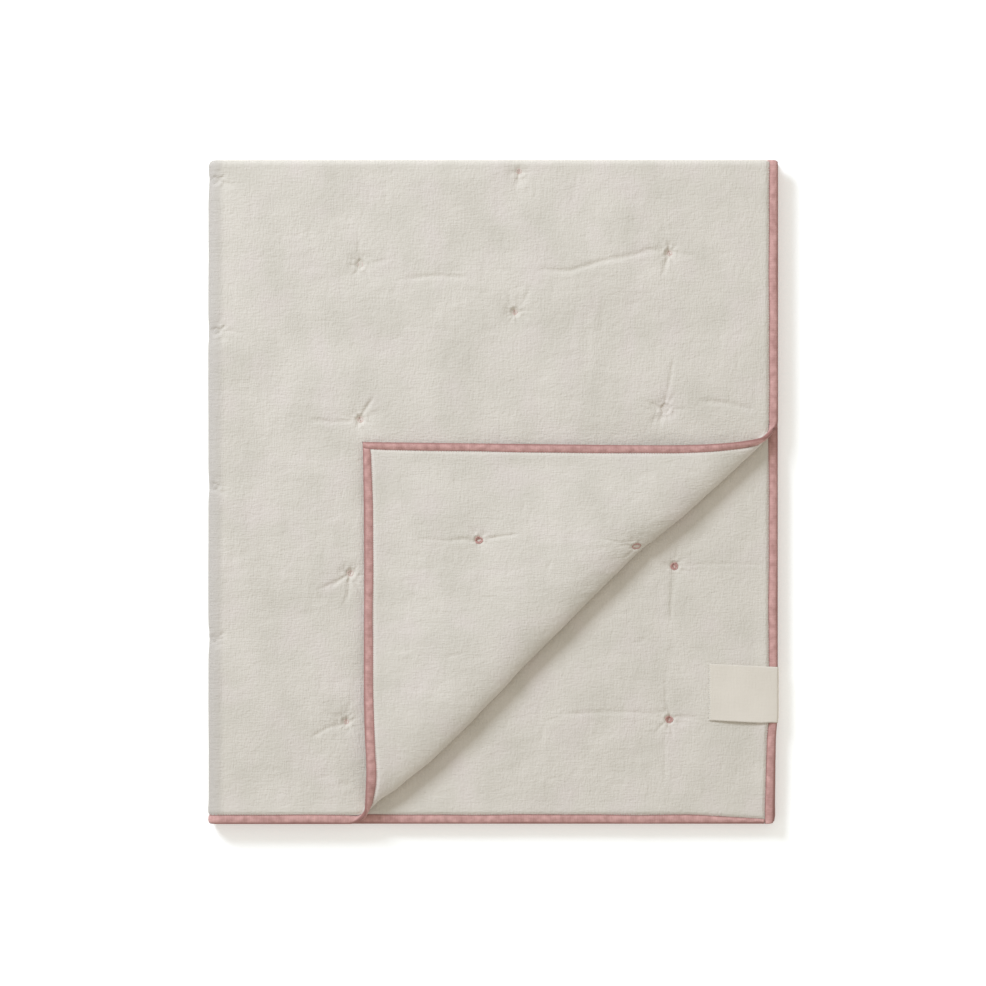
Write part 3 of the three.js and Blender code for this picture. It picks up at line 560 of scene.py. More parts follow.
# Each tack draws the cloth into a small steep hollow with a full rim, and into one sharp pleat
HOLLOW_RADIUS = 4.3
HOLLOW_DEPTH = 1.45
RIM_RADIUS = 6.8
RIM_WIDTH = 1.9
RIM_HEIGHT = 0.5
PLEAT_DEPTH = 1.1
PLEAT_WIDTH = 1.0
RIM_UNEVEN = 0.35
TACK_LOOK = 40
TACK_RANGES = {"deep": (0.75, 1.15), "lean": (-0.5, 0.5), "pleat": (4.0, 7.5), "turn": (0, 2 * math.pi)}


def tack_shapes():
    """Each tack's own depth, lean, length of pleat and turn of its rim."""
    least, most = zip(*TACK_RANGES.values())
    drawn = np.random.default_rng(SEED + 7).uniform(least, most, (len(ALL_TACKS), len(TACK_RANGES)))
    return [dict(zip(TACK_RANGES, row)) for row in drawn]


TACK_SHAPES = tack_shapes()


def tack_hollow(u, v):
    rise = np.zeros(np.shape(u))
    for shape, (tack_u, tack_v) in zip(TACK_SHAPES, TACK_PLACES):
        near = np.abs(u - tack_u) + np.abs(v - tack_v) < TACK_LOOK
        across, down = u[near] - tack_u, v[near] - tack_v
        away = np.hypot(across, down)
        uneven = 1 + RIM_UNEVEN * np.sin(3 * np.arctan2(down, across) + shape["turn"])
        hollow = -shape["deep"] * HOLLOW_DEPTH * np.exp(-((away / HOLLOW_RADIUS) ** 4))
        rim = RIM_HEIGHT * uneven * bell(away - RIM_RADIUS, RIM_WIDTH)
        aside = across * math.cos(shape["lean"]) - down * math.sin(shape["lean"])
        along = across * math.sin(shape["lean"]) + down * math.cos(shape["lean"])
        pleat = -PLEAT_DEPTH * bell(aside, PLEAT_WIDTH) * bell(along, shape["pleat"])
        rise[near] += hollow + rim + pleat
    return rise


# How far from an edge, a fold, the roll or the label the relief grows to its full height
EDGE_FADE = 22
EDGE_FADE_START = 3
FOLD_FADE = 25
TOP_FADE = 22
BEFORE_ROLL = 10
BEFORE_ROLL_SHARE = 0.75
UNDER_CORNER_SHARE = 0.6
ROLL_FADE = 14
HIDDEN_START = 14
HIDDEN_FADE = 24
HIDDEN_SHARE = 0.7
LABEL_CLEARANCE = 2
LABEL_FADE = 14
COVERED_LEFT = 142
COVERED_TOP = 50
COVERED_PAST = 400
COVERED_FADE = 10


def seen_edge(u, v):
    """How much of the relief is left beside the bound edges."""
    from_edge = np.minimum(HALF_ACROSS - np.abs(u), HALF_DOWN - np.abs(v))
    return ease((from_edge - BOUND_WIDTH + EDGE_FADE_START) / EDGE_FADE)


def outer_rise(u, v):
    """Relief of the outer face: on the top layer, round the folds, and next to nothing where it is hidden."""
    past = past_crease(u, v)
    on_top = (v > 0) & (u > -SIDE_TURN)
    at_roll = 1 - BEFORE_ROLL_SHARE * ease((past + BEFORE_ROLL) / BEFORE_ROLL)
    fade = ease((u + SIDE_TURN) / FOLD_FADE) * ease(v / TOP_FADE) * at_roll
    rise = (field_at(TOP_RELIEF, np.abs(u), np.abs(v)) + tack_hollow(u, v)) * fade
    under = under_corner(u, v)
    rise = np.where(rise > 0, rise * (1 - UNDER_CORNER_SHARE * under), rise)
    return np.where(on_top, rise * seen_edge(u, v), 0)


def inner_rise(u, v):
    """Relief of the inner face: on the turned corner and on the second layer that it uncovers."""
    past = past_crease(u, np.abs(v))
    corner = field_at(CORNER_RELIEF, np.abs(u), np.abs(v)) * ease(past / ROLL_FADE)
    second = field_at(SECOND_RELIEF, np.abs(u), np.abs(v))
    hidden = 1 - ease((past + HIDDEN_START) / HIDDEN_FADE)
    second = np.where(second > 0, second * (1 - HIDDEN_SHARE * hidden), second) * clear_of_label(u, v)
    off_top_fold = ease((-v - TOP_TURN) / FOLD_FADE)
    rise = np.where(v > 0, corner, second * off_top_fold) * ease((u - SIDE_TURN) / FOLD_FADE)
    return (rise + tack_hollow(u, v)) * seen_edge(u, v)


def clear_of_label(u, v):
    beside = HALF_ACROSS - LABEL_LENGTH - u
    above = LABEL_DOWN + v
    below = -v - LABEL_DOWN - LABEL_WIDTH - LABEL_SLANT * LABEL_LENGTH
    return ease((np.maximum(np.maximum(beside, above), below) - LABEL_CLEARANCE) / LABEL_FADE)


def under_corner(u, v):
    """1 on the top layer where the turned corner lies over it, 0 where it shows."""
    x, y = in_plan(u, v)
    inside = (x + COVERED_LEFT, COVERED_TOP - y, past_crease(u, v) + COVERED_PAST)
    return ease(inside[0] / COVERED_FADE) * ease(inside[1] / COVERED_FADE) * ease(inside[2] / COVERED_FADE)


def face_place(u, v, face, extra=0.0):
    """A place on a face of the cloth, 1 for the outer face and -1 for the inner one, or extra off that face."""
    rise = outer_rise(u, v) if face > 0 else inner_rise(u, v)
    reach = half_thickness(u, v) + rise + extra
    return middle(u, v) + outward(u, v) * (face * reach)[..., None]


# Points of the two faces of the cloth, close where a face shows and wide where it is hidden
SEEN_STEP = {1: 2.1, -1: 1.75}
TACK_STEP = 0.75
CREASE_STEP = 1.3
SIDE_STEP = 3.2
UNDER_STEP = 9.0
EDGE_STEP = 12.0
HIDDEN_STEP = 26.0
CLOSE_BELOW = 2.5
TACK_NEAR = 9.5
CREASE_NEAR = 4.5
CREASE_LOOK = 80
FOLD_NEAR = 8
UNDER_TACK_NEAR = 24
SEEN_PAST = 4
SHADED_LEFT = -124
SHADED_TOP = 34
SHADED_PAST = -26
SECOND_SEEN_PAST = -30


def nearest_crease(u, v, face):
    """Distance to the nearest main crease of this face of the cloth."""
    nearest = np.full(np.shape(u), FAR_OFF)
    for row in MAIN_CREASES:
        if (row.face == "top") != (face > 0):
            continue
        line_u, line_v = cloth_of(row.face, row.across, row.down)
        seen_v = -v if row.face == "second" else v
        close = (np.abs(u - line_u.mean()) < CREASE_LOOK) & (np.abs(seen_v - line_v.mean()) < CREASE_LOOK)
        away = along_line(u[close], seen_v[close], np.stack([line_u, line_v], axis=1))[0]
        nearest[close] = np.minimum(nearest[close], away)
    return nearest


def wanted_step(u, v, face):
    """Distance between points that a place of the cloth's face needs."""
    past = past_crease(u, np.abs(v))
    x, y = in_plan(u, np.abs(v))
    step = np.full(np.shape(u), HIDDEN_STEP)
    if face > 0:
        underside = (u < 0) & (v > 0)
        step = np.where(underside, UNDER_STEP, step)
        step = np.where(underside & (nearest_tack(u, v) < UNDER_TACK_NEAR), SIDE_STEP, step)
        uncovered = (x < SHADED_LEFT) | (y > SHADED_TOP) | (past > SHADED_PAST)
        shown = (u > 0) & (v > 0) & (past < SEEN_PAST) & uncovered
    else:
        shown = (u > 0) & (past > np.where(v > 0, -1, SECOND_SEEN_PAST))
    step = np.where(shown, SEEN_STEP[face], step)
    step = np.where(shown & (nearest_crease(u, v, face) < CREASE_NEAR), CREASE_STEP, step)
    step = np.where(shown & (nearest_tack(u, v) < TACK_NEAR), TACK_STEP, step)
    at_side_fold = (np.abs(u) < SIDE_TURN + FOLD_NEAR) & (v > -TOP_TURN - FOLD_NEAR)
    at_fold = at_side_fold | (np.abs(v) < TOP_TURN + FOLD_NEAR)
    step = np.where(at_fold & (face > 0), np.minimum(step, SIDE_STEP), step)
    near_edge = (HALF_ACROSS - np.abs(u) < PADDING_START) | (HALF_DOWN - np.abs(v) < PADDING_START)
    return np.where(near_edge, np.minimum(step, EDGE_STEP), step)


def staggered(step):
    """Places in offset rows over the whole open cloth."""
    rows = np.arange(-HALF_DOWN + step / 2, HALF_DOWN - step / 4, step * math.sqrt(3) / 2)
    columns = np.arange(-HALF_ACROSS + step / 2, HALF_ACROSS - step / 4, step)
    v, u = np.meshgrid(rows, columns, indexing="ij")
    u = u + (np.arange(len(rows)) % 2)[:, None] * step / 2
    return u.ravel(), v.ravel()


FOLD_LINES = 11
FOLD_RUN = 5.0
ROLL_LINES = 14
ROLL_RUN = 6.0
ROW_INSET = 2
RIM_DOWN = 560
RIM_ACROSS = 480


def fold_rows():
    """Close rows of places along the hidden folds, so that they turn smoothly."""
    places = []
    for turn, reach, swap in ((SIDE_TURN, HALF_DOWN, False), (TOP_TURN, HALF_ACROSS, True)):
        for line in np.linspace(-turn, turn, FOLD_LINES):
            run = np.arange(-reach + ROW_INSET, reach - ROW_INSET, FOLD_RUN)
            pair = (run, np.full(run.shape, line)) if swap else (np.full(run.shape, line), run)
            places.append(np.stack(pair, axis=1))
    for past in np.linspace(0, ROLL_TURN, ROLL_LINES):
        run = np.arange(0, CREASE_LENGTH, ROLL_RUN)
        x = CREASE_START[0] + run * ALONG_X + (past + ROLL_START) * OUT_X
        y = CREASE_START[1] + run * ALONG_Y + (past + ROLL_START) * OUT_Y
        u, v = x - SIDE_CENTRE + SIDE_TURN, TOP_CENTRE + TOP_TURN - y
        inside = (u < HALF_ACROSS - ROW_INSET) & (v < HALF_DOWN - ROW_INSET)
        places.append(np.stack([u[inside], v[inside]], axis=1))
    return np.concatenate(places)


def rim_places():
    """Places round the cut edge of the cloth, the same for both faces."""
    places = []
    down = np.linspace(-HALF_DOWN, HALF_DOWN, RIM_DOWN)
    across = np.linspace(-HALF_ACROSS, HALF_ACROSS, RIM_ACROSS)
    for side in (-1, 1):
        places.append(np.stack([np.full(down.shape, side * HALF_ACROSS), down], axis=1))
        inner = across[1:-1]
        places.append(np.stack([inner, np.full(inner.shape, side * HALF_DOWN)], axis=1))
    return np.concatenate(places)


def cloth_face(name, face):
    """One cloth face of the quilt with its half of the padding, out to the cut edge under the tape."""
    places = [rim_places()]
    rows = fold_rows()
    rows_needed = wanted_step(rows[:, 0], rows[:, 1], face) > CLOSE_BELOW
    places.append(rows[rows_needed])
    for step in (TACK_STEP, CREASE_STEP, SEEN_STEP[face], SIDE_STEP, UNDER_STEP, EDGE_STEP, HIDDEN_STEP):
        u, v = staggered(step)
        if step < SEEN_STEP[face]:
            nearby = (nearest_tack(u, v) < TACK_NEAR + 0.5) | (nearest_crease(u, v, face) < CREASE_NEAR + 0.5)
            u, v = u[nearby], v[nearby]
        off_rim = (HALF_ACROSS - np.abs(u) > 1) & (HALF_DOWN - np.abs(v) > 1)
        u, v = u[off_rim], v[off_rim]
        fits = np.abs(wanted_step(u, v, face) - step) < 0.01
        if step > CLOSE_BELOW:
            off_folds = (np.abs(u) > SIDE_TURN + 1) & (np.abs(v) > TOP_TURN + 1)
            in_corner = (u > 0) & (v > 0)
            past = past_crease(u, v)
            off_roll = ~(in_corner & (past > -2) & (past < ROLL_TURN + 2))
            fits &= off_folds & off_roll
        places.append(np.stack([u[fits], v[fits]], axis=1))
    points = np.concatenate(places)
    joined = delaunay_2d_cdt([Vector(p) for p in points.tolist()], [], [], 0, 1e-5)
    spots, faces = np.array(joined[0]), np.array(joined[2])
    u, v = spots[:, 0], spots[:, 1]
    at_rim = (HALF_ACROSS - np.abs(u) < 0.01) | (HALF_DOWN - np.abs(v) < 0.01)
    body = face_place(u, v, face)
    body[at_rim] = middle(u[at_rim], v[at_rim])
    if face > 0:
        faces = faces[:, [0, 2, 1]]
    return make_piece(name, body, faces.tolist(), np.stack([u, v], axis=1))


def make_piece(name, points, faces, flat_places=None):
    """A smooth mesh from places in millimetres. flat_places is each point's place on its flat cloth."""
    places = points * MM
    # Cloth that meets the table lies flat on it
    places[:, 2] = np.maximum(places[:, 2], 0.0)
    mesh = bpy.data.meshes.new(name)
    mesh.from_pydata(places.tolist(), [], faces)
    if flat_places is not None:
        layer = mesh.uv_layers.new(name="cloth")
        corners = np.empty(len(mesh.loops), dtype=np.int32)
        mesh.loops.foreach_get("vertex_index", corners)
        layer.data.foreach_set("uv", (flat_places[corners] * MM).astype(np.float32).ravel())
    mesh.shade_smooth()
    piece = bpy.data.objects.new(name, mesh)
    bpy.context.scene.collection.objects.link(piece)
    return piece


# Binding tape: a flat tape folded round the cut edge, with a soft round section
TAPE_HALF = 2.45
TAPE_INNER_HALF = 1.15
TAPE_SEEN_STEP = 1.5
TAPE_HIDDEN_STEP = 7.0
TAPE_FOLD_STEP = 1.0
TAPE_TURNS = 25
TAPE_ROUND_OUT = 0.95
TAPE_ROUND_UP = 0.85
TAPE_INNER_LOWER = 0.16
TAPE_LEAF = 0.8
TAPE_CAVITY_DRAWN_IN = 0.2
TAPE_EDGE_HELD = 0.4
ROLL_BEFORE = 4
ROLL_AFTER = 6
SEEN_BELOW = 280
END_GAP = 0.5


def tape_section():
    """Outline of the folded tape: distance past the cut edge, and offset from the middle of the cloth."""
    turns = np.linspace(0, math.pi, TAPE_TURNS)
    centre = (TAPE_PROUD - TAPE_WIDTH) / 2
    reach = (TAPE_PROUD + TAPE_WIDTH) / 2
    out = centre + reach * np.sign(np.cos(turns)) * np.abs(np.cos(turns)) ** TAPE_ROUND_OUT
    lower = 1 - TAPE_INNER_LOWER * ease((centre - out) / reach)
    offset = TAPE_HALF * np.sin(turns) ** TAPE_ROUND_UP * lower
    offset = np.maximum(offset, np.where(out < centre, TAPE_INNER_HALF, 0))
    outside = list(zip(out, offset)) + list(zip(out[::-1][1:-1], -offset[::-1][1:-1]))
    del outside[len(turns) - 1]
    deepest, drawn = TAPE_PROUD - TAPE_LEAF, TAPE_INNER_HALF - TAPE_CAVITY_DRAWN_IN
    cavity = [(-TAPE_WIDTH, TAPE_INNER_HALF), (deepest, drawn)]
    cavity += [(out, -offset) for out, offset in cavity[::-1]]
    half = len(turns) - 1
    return outside[:half] + cavity + outside[half:]


def panels_between(rings, size):
    """Four-sided panels that join each ring of points to the next."""
    return [
        (row * size + k, row * size + after, (row + 1) * size + after, (row + 1) * size + k)
        for row in range(rings - 1)
        for k, after in zip(range(size), [*range(1, size), 0])
    ]


def swept(name, stations, section, place_at, flat_at):
    """A closed solid with one outline carried along stations, shut at both ends."""
    size = len(section)
    along = np.repeat(stations, size)
    out = np.tile([spot[0] for spot in section], len(stations))
    offset = np.tile([spot[1] for spot in section], len(stations))
    points = place_at(along, out, offset)
    faces = panels_between(len(stations), size)
    last = (len(stations) - 1) * size
    centres = [points[:size].mean(axis=0), points[last:].mean(axis=0)]
    points = np.concatenate([points, centres])
    for k in range(size):
        after = (k + 1) % size
        faces.append((len(points) - 2, after, k))
        faces.append((len(points) - 1, last + k, last + after))
    flat = np.stack([flat_at(along), out], axis=1)
    return make_piece(name, points, faces, np.concatenate([flat, flat[[0]], flat[[-1]]]))


def stations_between(low, high, step_at):
    """Stations along an edge, each a step from the last that suits its place."""
    places = [low]
    while places[-1] < high:
        places.append(places[-1] + step_at(places[-1]))
    places = np.array(places)
    return low + (places - low) * (high - low) / (places[-1] - low)


# Puckers of the tape and its waver: how high, and how long each wave is over one turn of its angle
PUCKER = 0.05
PUCKER_WAVES = {"stitch": 2.3, "drift": 23, "patch": 37, "slow": 8.7, "wander": 61}
Sway = namedtuple("Sway", "by wave phases")
SWAYS = [Sway(0.28, 31, 1), Sway(0.18, 13.3, 2.1)]


def pucker(along, phase):
    """How full the tape is along its run, drawn in a little between its stitches."""
    at = {name: along / wave for name, wave in PUCKER_WAVES.items()}
    patchy = 0.5 + 0.5 * np.sin(at["patch"] + 2 * phase)
    close = np.sin(at["stitch"] + 2 * np.sin(at["drift"] + phase)) * patchy
    return 1 + PUCKER * (close + np.sin(at["slow"] + 3 * np.sin(at["wander"] + phase)))


def sway(along, phase):
    """The small waver of a tape that is sewn on by hand and eye."""
    return sum(row.by * np.sin(along / row.wave + row.phases * phase) for row in SWAYS)


def tape_step(past, at_fold, near_fold, seen):
    """Distance between a tape's stations: close at the roll and the folds, wide where it is hidden."""
    if -ROLL_BEFORE < past < ROLL_TURN + ROLL_AFTER or at_fold:
        return TAPE_FOLD_STEP
    return TAPE_SEEN_STEP if seen or near_fold else TAPE_HIDDEN_STEP


def side_tape(name, side):
    def step_at(v):
        past = past_crease(HALF_ACROSS, v) if side > 0 and v > 0 else -math.inf
        seen = side > 0 and (v > 0 or v < -SEEN_BELOW)
        return tape_step(past, abs(v) < TOP_TURN + 2, abs(v) < TOP_TURN + 10, seen)

    def place_at(v, out, offset):
        moved = np.where(out < TAPE_PROUD - TAPE_EDGE_HELD, out + sway(v, side), out)
        u = side * (HALF_ACROSS + moved)
        reach = side * offset * pucker(v, side)
        return middle(u, v) + outward(u, v) * reach[:, None]

    stations = stations_between(-HALF_DOWN - TAPE_PROUD, HALF_DOWN + TAPE_PROUD, step_at)
    return swept(name, stations, tape_section(), place_at, lambda v: v)


def end_tape(name, end):
    def step_at(u):
        past = past_crease(u, HALF_DOWN) if end > 0 and u > 0 else -math.inf
        return tape_step(past, abs(u) < SIDE_TURN + 2, abs(u) < SIDE_TURN + 10, u > 0)

    def place_at(u, out, offset):
        moved = np.where(out < TAPE_PROUD - TAPE_EDGE_HELD, out + sway(u, phase), out)
        leaf = np.where(offset < 0, tape_narrowed(end, u) * np.clip(-out / TAPE_WIDTH, 0, 1), 0)
        v = end * (HALF_DOWN + moved + leaf)
        reach = -end * offset * pucker(u, phase)
        return middle(u, v) + outward(u, v) * reach[:, None]

    phase = end + 0.5
    reach = HALF_ACROSS - TAPE_WIDTH - END_GAP
    stations = stations_between(-reach, reach, step_at)
    return swept(name, stations, tape_section(), place_at, lambda u: u)


LABEL_OFF_TAPE = 0.35
LABEL_BEND = 1.6
LABEL_BEND_TURNS = 13
LABEL_COLUMNS = 34
LABEL_UNDER_COLUMNS = 12
LABEL_ROWS = 40
LABEL_HEM = 1.3
LABEL_HEM_SHARE = 4
LABEL_RIPPLE = 0.22
LABEL_RIPPLE_WAVE = 7


def label_piece(name):
    """The label: one leaf on the second layer, round its bound edge, and a short leaf beneath."""
    inner = TAPE_HALF + LABEL_OFF_TAPE
    bend_out = TAPE_PROUD + LABEL_OFF_TAPE - LABEL_BEND
    turns = np.linspace(-math.pi / 2, math.pi / 2, LABEL_BEND_TURNS)
    stops = np.linspace(-LABEL_LENGTH, bend_out, LABEL_COLUMNS)
    under_stops = np.linspace(bend_out, -LABEL_UNDER_LENGTH, LABEL_UNDER_COLUMNS)

    def line(thick):
        rest = inner + thick
        bend = [(bend_out + (LABEL_BEND + thick) * math.cos(t), rest * math.sin(t)) for t in turns]
        return [(stop, -rest) for stop in stops[:-1]] + bend + [(stop, rest) for stop in under_stops[1:]]

    section = line(0) + line(LABEL_THICKNESS)[::-1]

    def place_at(share, out, offset):
        from_edge = np.clip(-out / LABEL_LENGTH, 0, 1)
        down = LABEL_DOWN + LABEL_WIDTH * share + LABEL_SLANT * (LABEL_LENGTH + out)
        hem = -LABEL_HEM * ease(1 - from_edge * LABEL_HEM_SHARE) * share
        lift = LABEL_LIFT * share**4
        ripple = LABEL_RIPPLE * np.sin(out / LABEL_RIPPLE_WAVE + 3 * share) * np.sin(math.pi * share)
        raised = np.where(offset < 0, (lift + ripple) * np.sin(math.pi * from_edge), 0)
        u, v = HALF_ACROSS + out, -(down + hem)
        return middle(u, v) + outward(u, v) * (offset - raised)[:, None]

    return swept(name, np.linspace(0, 1, LABEL_ROWS), section, place_at, lambda share: share * LABEL_WIDTH)


# Threads: each is a thin round strand along a few places
STRAND_SIDES = 5
STRAND_END_SHARE = 0.45
OFF_THE_CLOTH = [0.31, 0.17, 0.94]


def strand(points, radius):
    """Points and faces of a strand along places, with round ends drawn in."""
    sides = STRAND_SIDES
    runs = np.gradient(points, axis=0)
    runs /= np.linalg.norm(runs, axis=1, keepdims=True)
    aside = np.cross(runs, OFF_THE_CLOTH)
    aside /= np.linalg.norm(aside, axis=1, keepdims=True)
    across = np.cross(runs, aside)
    thin = np.full(len(points), radius)
    thin[[0, -1]] *= STRAND_END_SHARE
    turns = np.arange(sides) * 2 * math.pi / sides
    turns = turns[None, :, None]
    ring = np.cos(turns) * aside[:, None, :] + np.sin(turns) * across[:, None, :]
    body = (points[:, None, :] + thin[:, None, None] * ring).reshape(-1, 3)
    faces = panels_between(len(points), sides)
    faces.append(tuple(range(sides))[::-1])
    faces.append(tuple((len(points) - 1) * sides + k for k in range(sides)))
    return body, faces


def strands_piece(name, strands, radius):
    bodies, faces, count = [], [], 0
    for places in strands:
        body, panels = strand(places, radius)
        bodies.append(body)
        faces += [tuple(corner + count for corner in panel) for panel in panels]
        count += len(body)
    return make_piece(name, np.concatenate(bodies), faces)


TACK_RADIUS = 3.75
TACK_THREAD = 0.56
BACK_THREAD = 0.24
HEM_THREAD = 0.22
LABEL_THREAD = 0.2
LAP_POINTS = 30
LAP_SHARE = 0.98
LAP_SQUEEZE = (0.84, 1.0)
LAP_RIPPLE = 0.14
# Laps of a tack on the inner face, from its rim to its wound middle, and on the outer face
Lap = namedtuple("Lap", "radius height")
TACK_LAPS = [Lap(1.0, 0.35), Lap(0.85, 0.3), Lap(0.62, 0.0), Lap(0.4, -0.05), Lap(0.18, 0.0)]
BACK_SIZES = (0.85, 1.05)
BACK_LAPS = [Lap(0.8, -0.06), Lap(0.7, 0.02)]
BACK_STITCH_HALF = 2.6
BACK_STITCH_HEIGHT = 0.3
BACK_STITCH_BOW = 0.06
BACK_STITCHES = (-0.35, 0.3)


def ring_lap(draw, u, v, face, radius, height):
    """One uneven lap of thread round a tack, dipping into the cloth and out again."""
    lean = draw.uniform(0, math.pi)
    squeeze = draw.uniform(*LAP_SQUEEZE)
    turns = np.linspace(0, 2 * math.pi * LAP_SHARE, LAP_POINTS) + lean
    wobble = 1 + 0.05 * np.sin(3 * turns + lean) + 0.03 * np.sin(7 * turns)
    a, b = radius * wobble * np.cos(turns), radius * squeeze * wobble * np.sin(turns)
    ring_u = u + a * math.cos(lean) - b * math.sin(lean)
    ring_v = v + a * math.sin(lean) + b * math.cos(lean)
    return face_place(ring_u, ring_v, face, height + LAP_RIPPLE * np.sin(9 * turns))


def tack_strands():
    """On the inner face each tack is a small round of wound thread, drawn down into the padding."""
    draw = np.random.default_rng(SEED)
    strands = []
    for tack, (u, v) in zip(ALL_TACKS, TACK_PLACES):
        if tack.layer not in ("corner", "second"):
            continue
        for lap in TACK_LAPS:
            strands.append(ring_lap(draw, u, v, -1, TACK_RADIUS * lap.radius, lap.height))
    return strands


def tack_back_strands():
    """On the outer face only a thin ring and one short stitch of each tack come out of the pleat."""
    draw = np.random.default_rng(SEED + 3)
    strands = []
    for tack, shape, (u, v) in zip(ALL_TACKS, TACK_SHAPES, TACK_PLACES):
        if tack.layer not in ("top", "under"):
            continue
        radius = TACK_RADIUS * draw.uniform(*BACK_SIZES)
        for lap in BACK_LAPS:
            strands.append(ring_lap(draw, u, v, 1, radius * lap.radius, lap.height))
        steps = np.linspace(-BACK_STITCH_HALF, BACK_STITCH_HALF, 7)
        for aside in BACK_STITCHES:
            bar_u = u + steps * math.sin(shape["lean"]) + aside
            bar_v = v + steps * math.cos(shape["lean"])
            height = BACK_STITCH_HEIGHT - BACK_STITCH_BOW * steps**2
            strands.append(face_place(bar_u, bar_v, 1, height))
    return strands


# Hem stitches: distance apart, length across the tape's inner edge, lean, and the arch of the thread
HEM_PITCH = 2.65
HEM_LENGTH = 1.5
HEM_LEAN = 0.35
HEM_ON_TAPE = 0.4
HEM_ARCH = np.array([0.9, 0.82, 0.5, -0.1])
HEM_FROM_TOP = 8
HEM_FROM_FOLD = 4
HEM_FROM_CORNER = 12
HEM_FROM_SIDE = 14
HEM_BEFORE_ROLL = 3
HEM_SECOND_SEEN = 290
LABEL_STITCH_PITCH = 2.3
LABEL_STITCH_START = 1.1
LABEL_STITCH_LENGTH = 2.8
LABEL_STITCH_ARCH = np.array([-0.05, 0.7, 1.2, 1.25, 0.85])


def hem_strands():
    """Short stitches over the inner edge of the tapes that show."""
    draw = np.random.default_rng(SEED + 1)
    strands = []
    steps = np.linspace(0, 1, len(HEM_ARCH))

    def add(u, v, step_u, step_v, face):
        lean = draw.uniform(-HEM_LEAN, HEM_LEAN)
        places_u = u + steps * (step_u or lean)
        places_v = v + steps * (step_v or lean)
        strands.append(face_place(places_u, places_v, face, HEM_ARCH))

    inner_u, inner_v = HALF_ACROSS - TAPE_WIDTH + HEM_ON_TAPE, HALF_DOWN - TAPE_WIDTH + HEM_ON_TAPE
    for v in np.arange(HEM_FROM_TOP, HALF_DOWN - HEM_FROM_CORNER, HEM_PITCH):
        past = past_crease(HALF_ACROSS, v)
        if not -HEM_BEFORE_ROLL < past < ROLL_TURN:
            add(inner_u, v, -HEM_LENGTH, 0, 1 if past < 0 else -1)
    for v in np.arange(-HALF_DOWN + HEM_FROM_CORNER, -HEM_SECOND_SEEN, HEM_PITCH):
        if not LABEL_DOWN - 1 < -v < LABEL_DOWN + LABEL_WIDTH + 6:
            add(inner_u, v, -HEM_LENGTH, 0, -1)
    for u in np.arange(HEM_FROM_FOLD, HALF_ACROSS - HEM_FROM_SIDE, HEM_PITCH):
        past = past_crease(u, HALF_DOWN)
        if not -HEM_BEFORE_ROLL < past < ROLL_TURN:
            add(u, inner_v, 0, -HEM_LENGTH, 1 if past < 0 else -1)
        if past > SECOND_SEEN_PAST:
            add(u, -inner_v - tape_narrowed(-1, u), 0, HEM_LENGTH, -1)
    return strands


def label_strands():
    """Small stitches over the label's inner end."""
    steps = np.linspace(0, 1, len(LABEL_STITCH_ARCH))
    u = HALF_ACROSS - LABEL_LENGTH - LABEL_STITCH_START + LABEL_STITCH_LENGTH * steps
    downs = np.arange(LABEL_DOWN + 1.5, LABEL_DOWN + LABEL_WIDTH - 1, LABEL_STITCH_PITCH)
    return [face_place(u, np.full(u.shape, -down), -1, LABEL_STITCH_ARCH) for down in downs]


# Materials
def add_node(tree, kind, inputs=None, **settings):
    """Adds a node with its settings; an input is a value, or the output of another node to link."""
    made = tree.nodes.new(kind)
    for name, value in settings.items():
        setattr(made, name, value)
    for name, value in (inputs or {}).items():
        if isinstance(value, bpy.types.NodeSocket):
            tree.links.new(value, made.inputs[name])
        else:
            made.inputs[name].default_value = value
    return made


def new_material(name):
    material = bpy.data.materials.new(name)
    material.use_nodes = True
    material.node_tree.nodes.clear()
    return material, material.node_tree


def place_in_mm(tree):
    """The place on the flat cloth, so that one unit of a pattern is a millimetre of cloth."""
    place = add_node(tree, "ShaderNodeUVMap", uv_map="cloth").outputs["UV"]
    return add_node(tree, "ShaderNodeVectorMath", {0: place, "Scale": 1 / MM}, operation="SCALE").outputs[0]


def added_up(tree, parts):
    """Patterns added up, each by its share."""
    so_far = 0.0
    for pattern, share in parts:
        inputs = {0: pattern, 1: share, 2: so_far}
        so_far = add_node(tree, "ShaderNodeMath", inputs, operation="MULTIPLY_ADD").outputs[0]
    return so_far


def laid_over(tree, colour, layers):
    """Colours laid over a ground colour one after another, each by its share."""
    colour = linear(colour)
    for share, over in layers:
        inputs = {"Factor": share, 6: colour, 7: linear(over)}
        colour = add_node(tree, "ShaderNodeMix", inputs, data_type="RGBA").outputs[2]
    return colour


def finish_material(tree, inputs):
    surface = add_node(tree, "ShaderNodeBsdfPrincipled", inputs)
    add_node(tree, "ShaderNodeOutputMaterial", {"Surface": surface.outputs["BSDF"]})


# Patterns of the washed cotton, with their lengths across and down in millimetres: slubs are thicker lengths of
# yarn; crinkles are the dents that the padding leaves; the weave is drawn at 1 mm, about twice the yarns' real
# spacing, so that it still shows from a step away; in the patches the padding shows through more or less.
Pattern = namedtuple("Pattern", "across down detail rough shift")
COTTON_PATTERNS = {
    "weft slubs": Pattern(26.0, 1.25, 2.0, 0.6, 0.0),
    "warp slubs": Pattern(1.25, 26.0, 2.0, 0.6, 7.0),
    "crinkle across": Pattern(6.5, 2.1, 3.0, 0.55, 3.0),
    "crinkle down": Pattern(2.1, 6.5, 3.0, 0.55, 11.0),
    "weave": Pattern(1.0, 1.0, 2.0, 0.6, 5.0),
    "patches": Pattern(48.0, 48.0, 2.0, 0.5, 19.0),
    "rosy patches": Pattern(36.0, 44.0, 1.0, 0.4, 31.0),
}
SLUB_RELIEF = 0.1
CRINKLE_RELIEF = 0.52
WEAVE_RELIEF = 0.06
# How far out from the middle of the side fold the painted shade reaches, in mm
FOLD_SHADE_REACH = 17.0


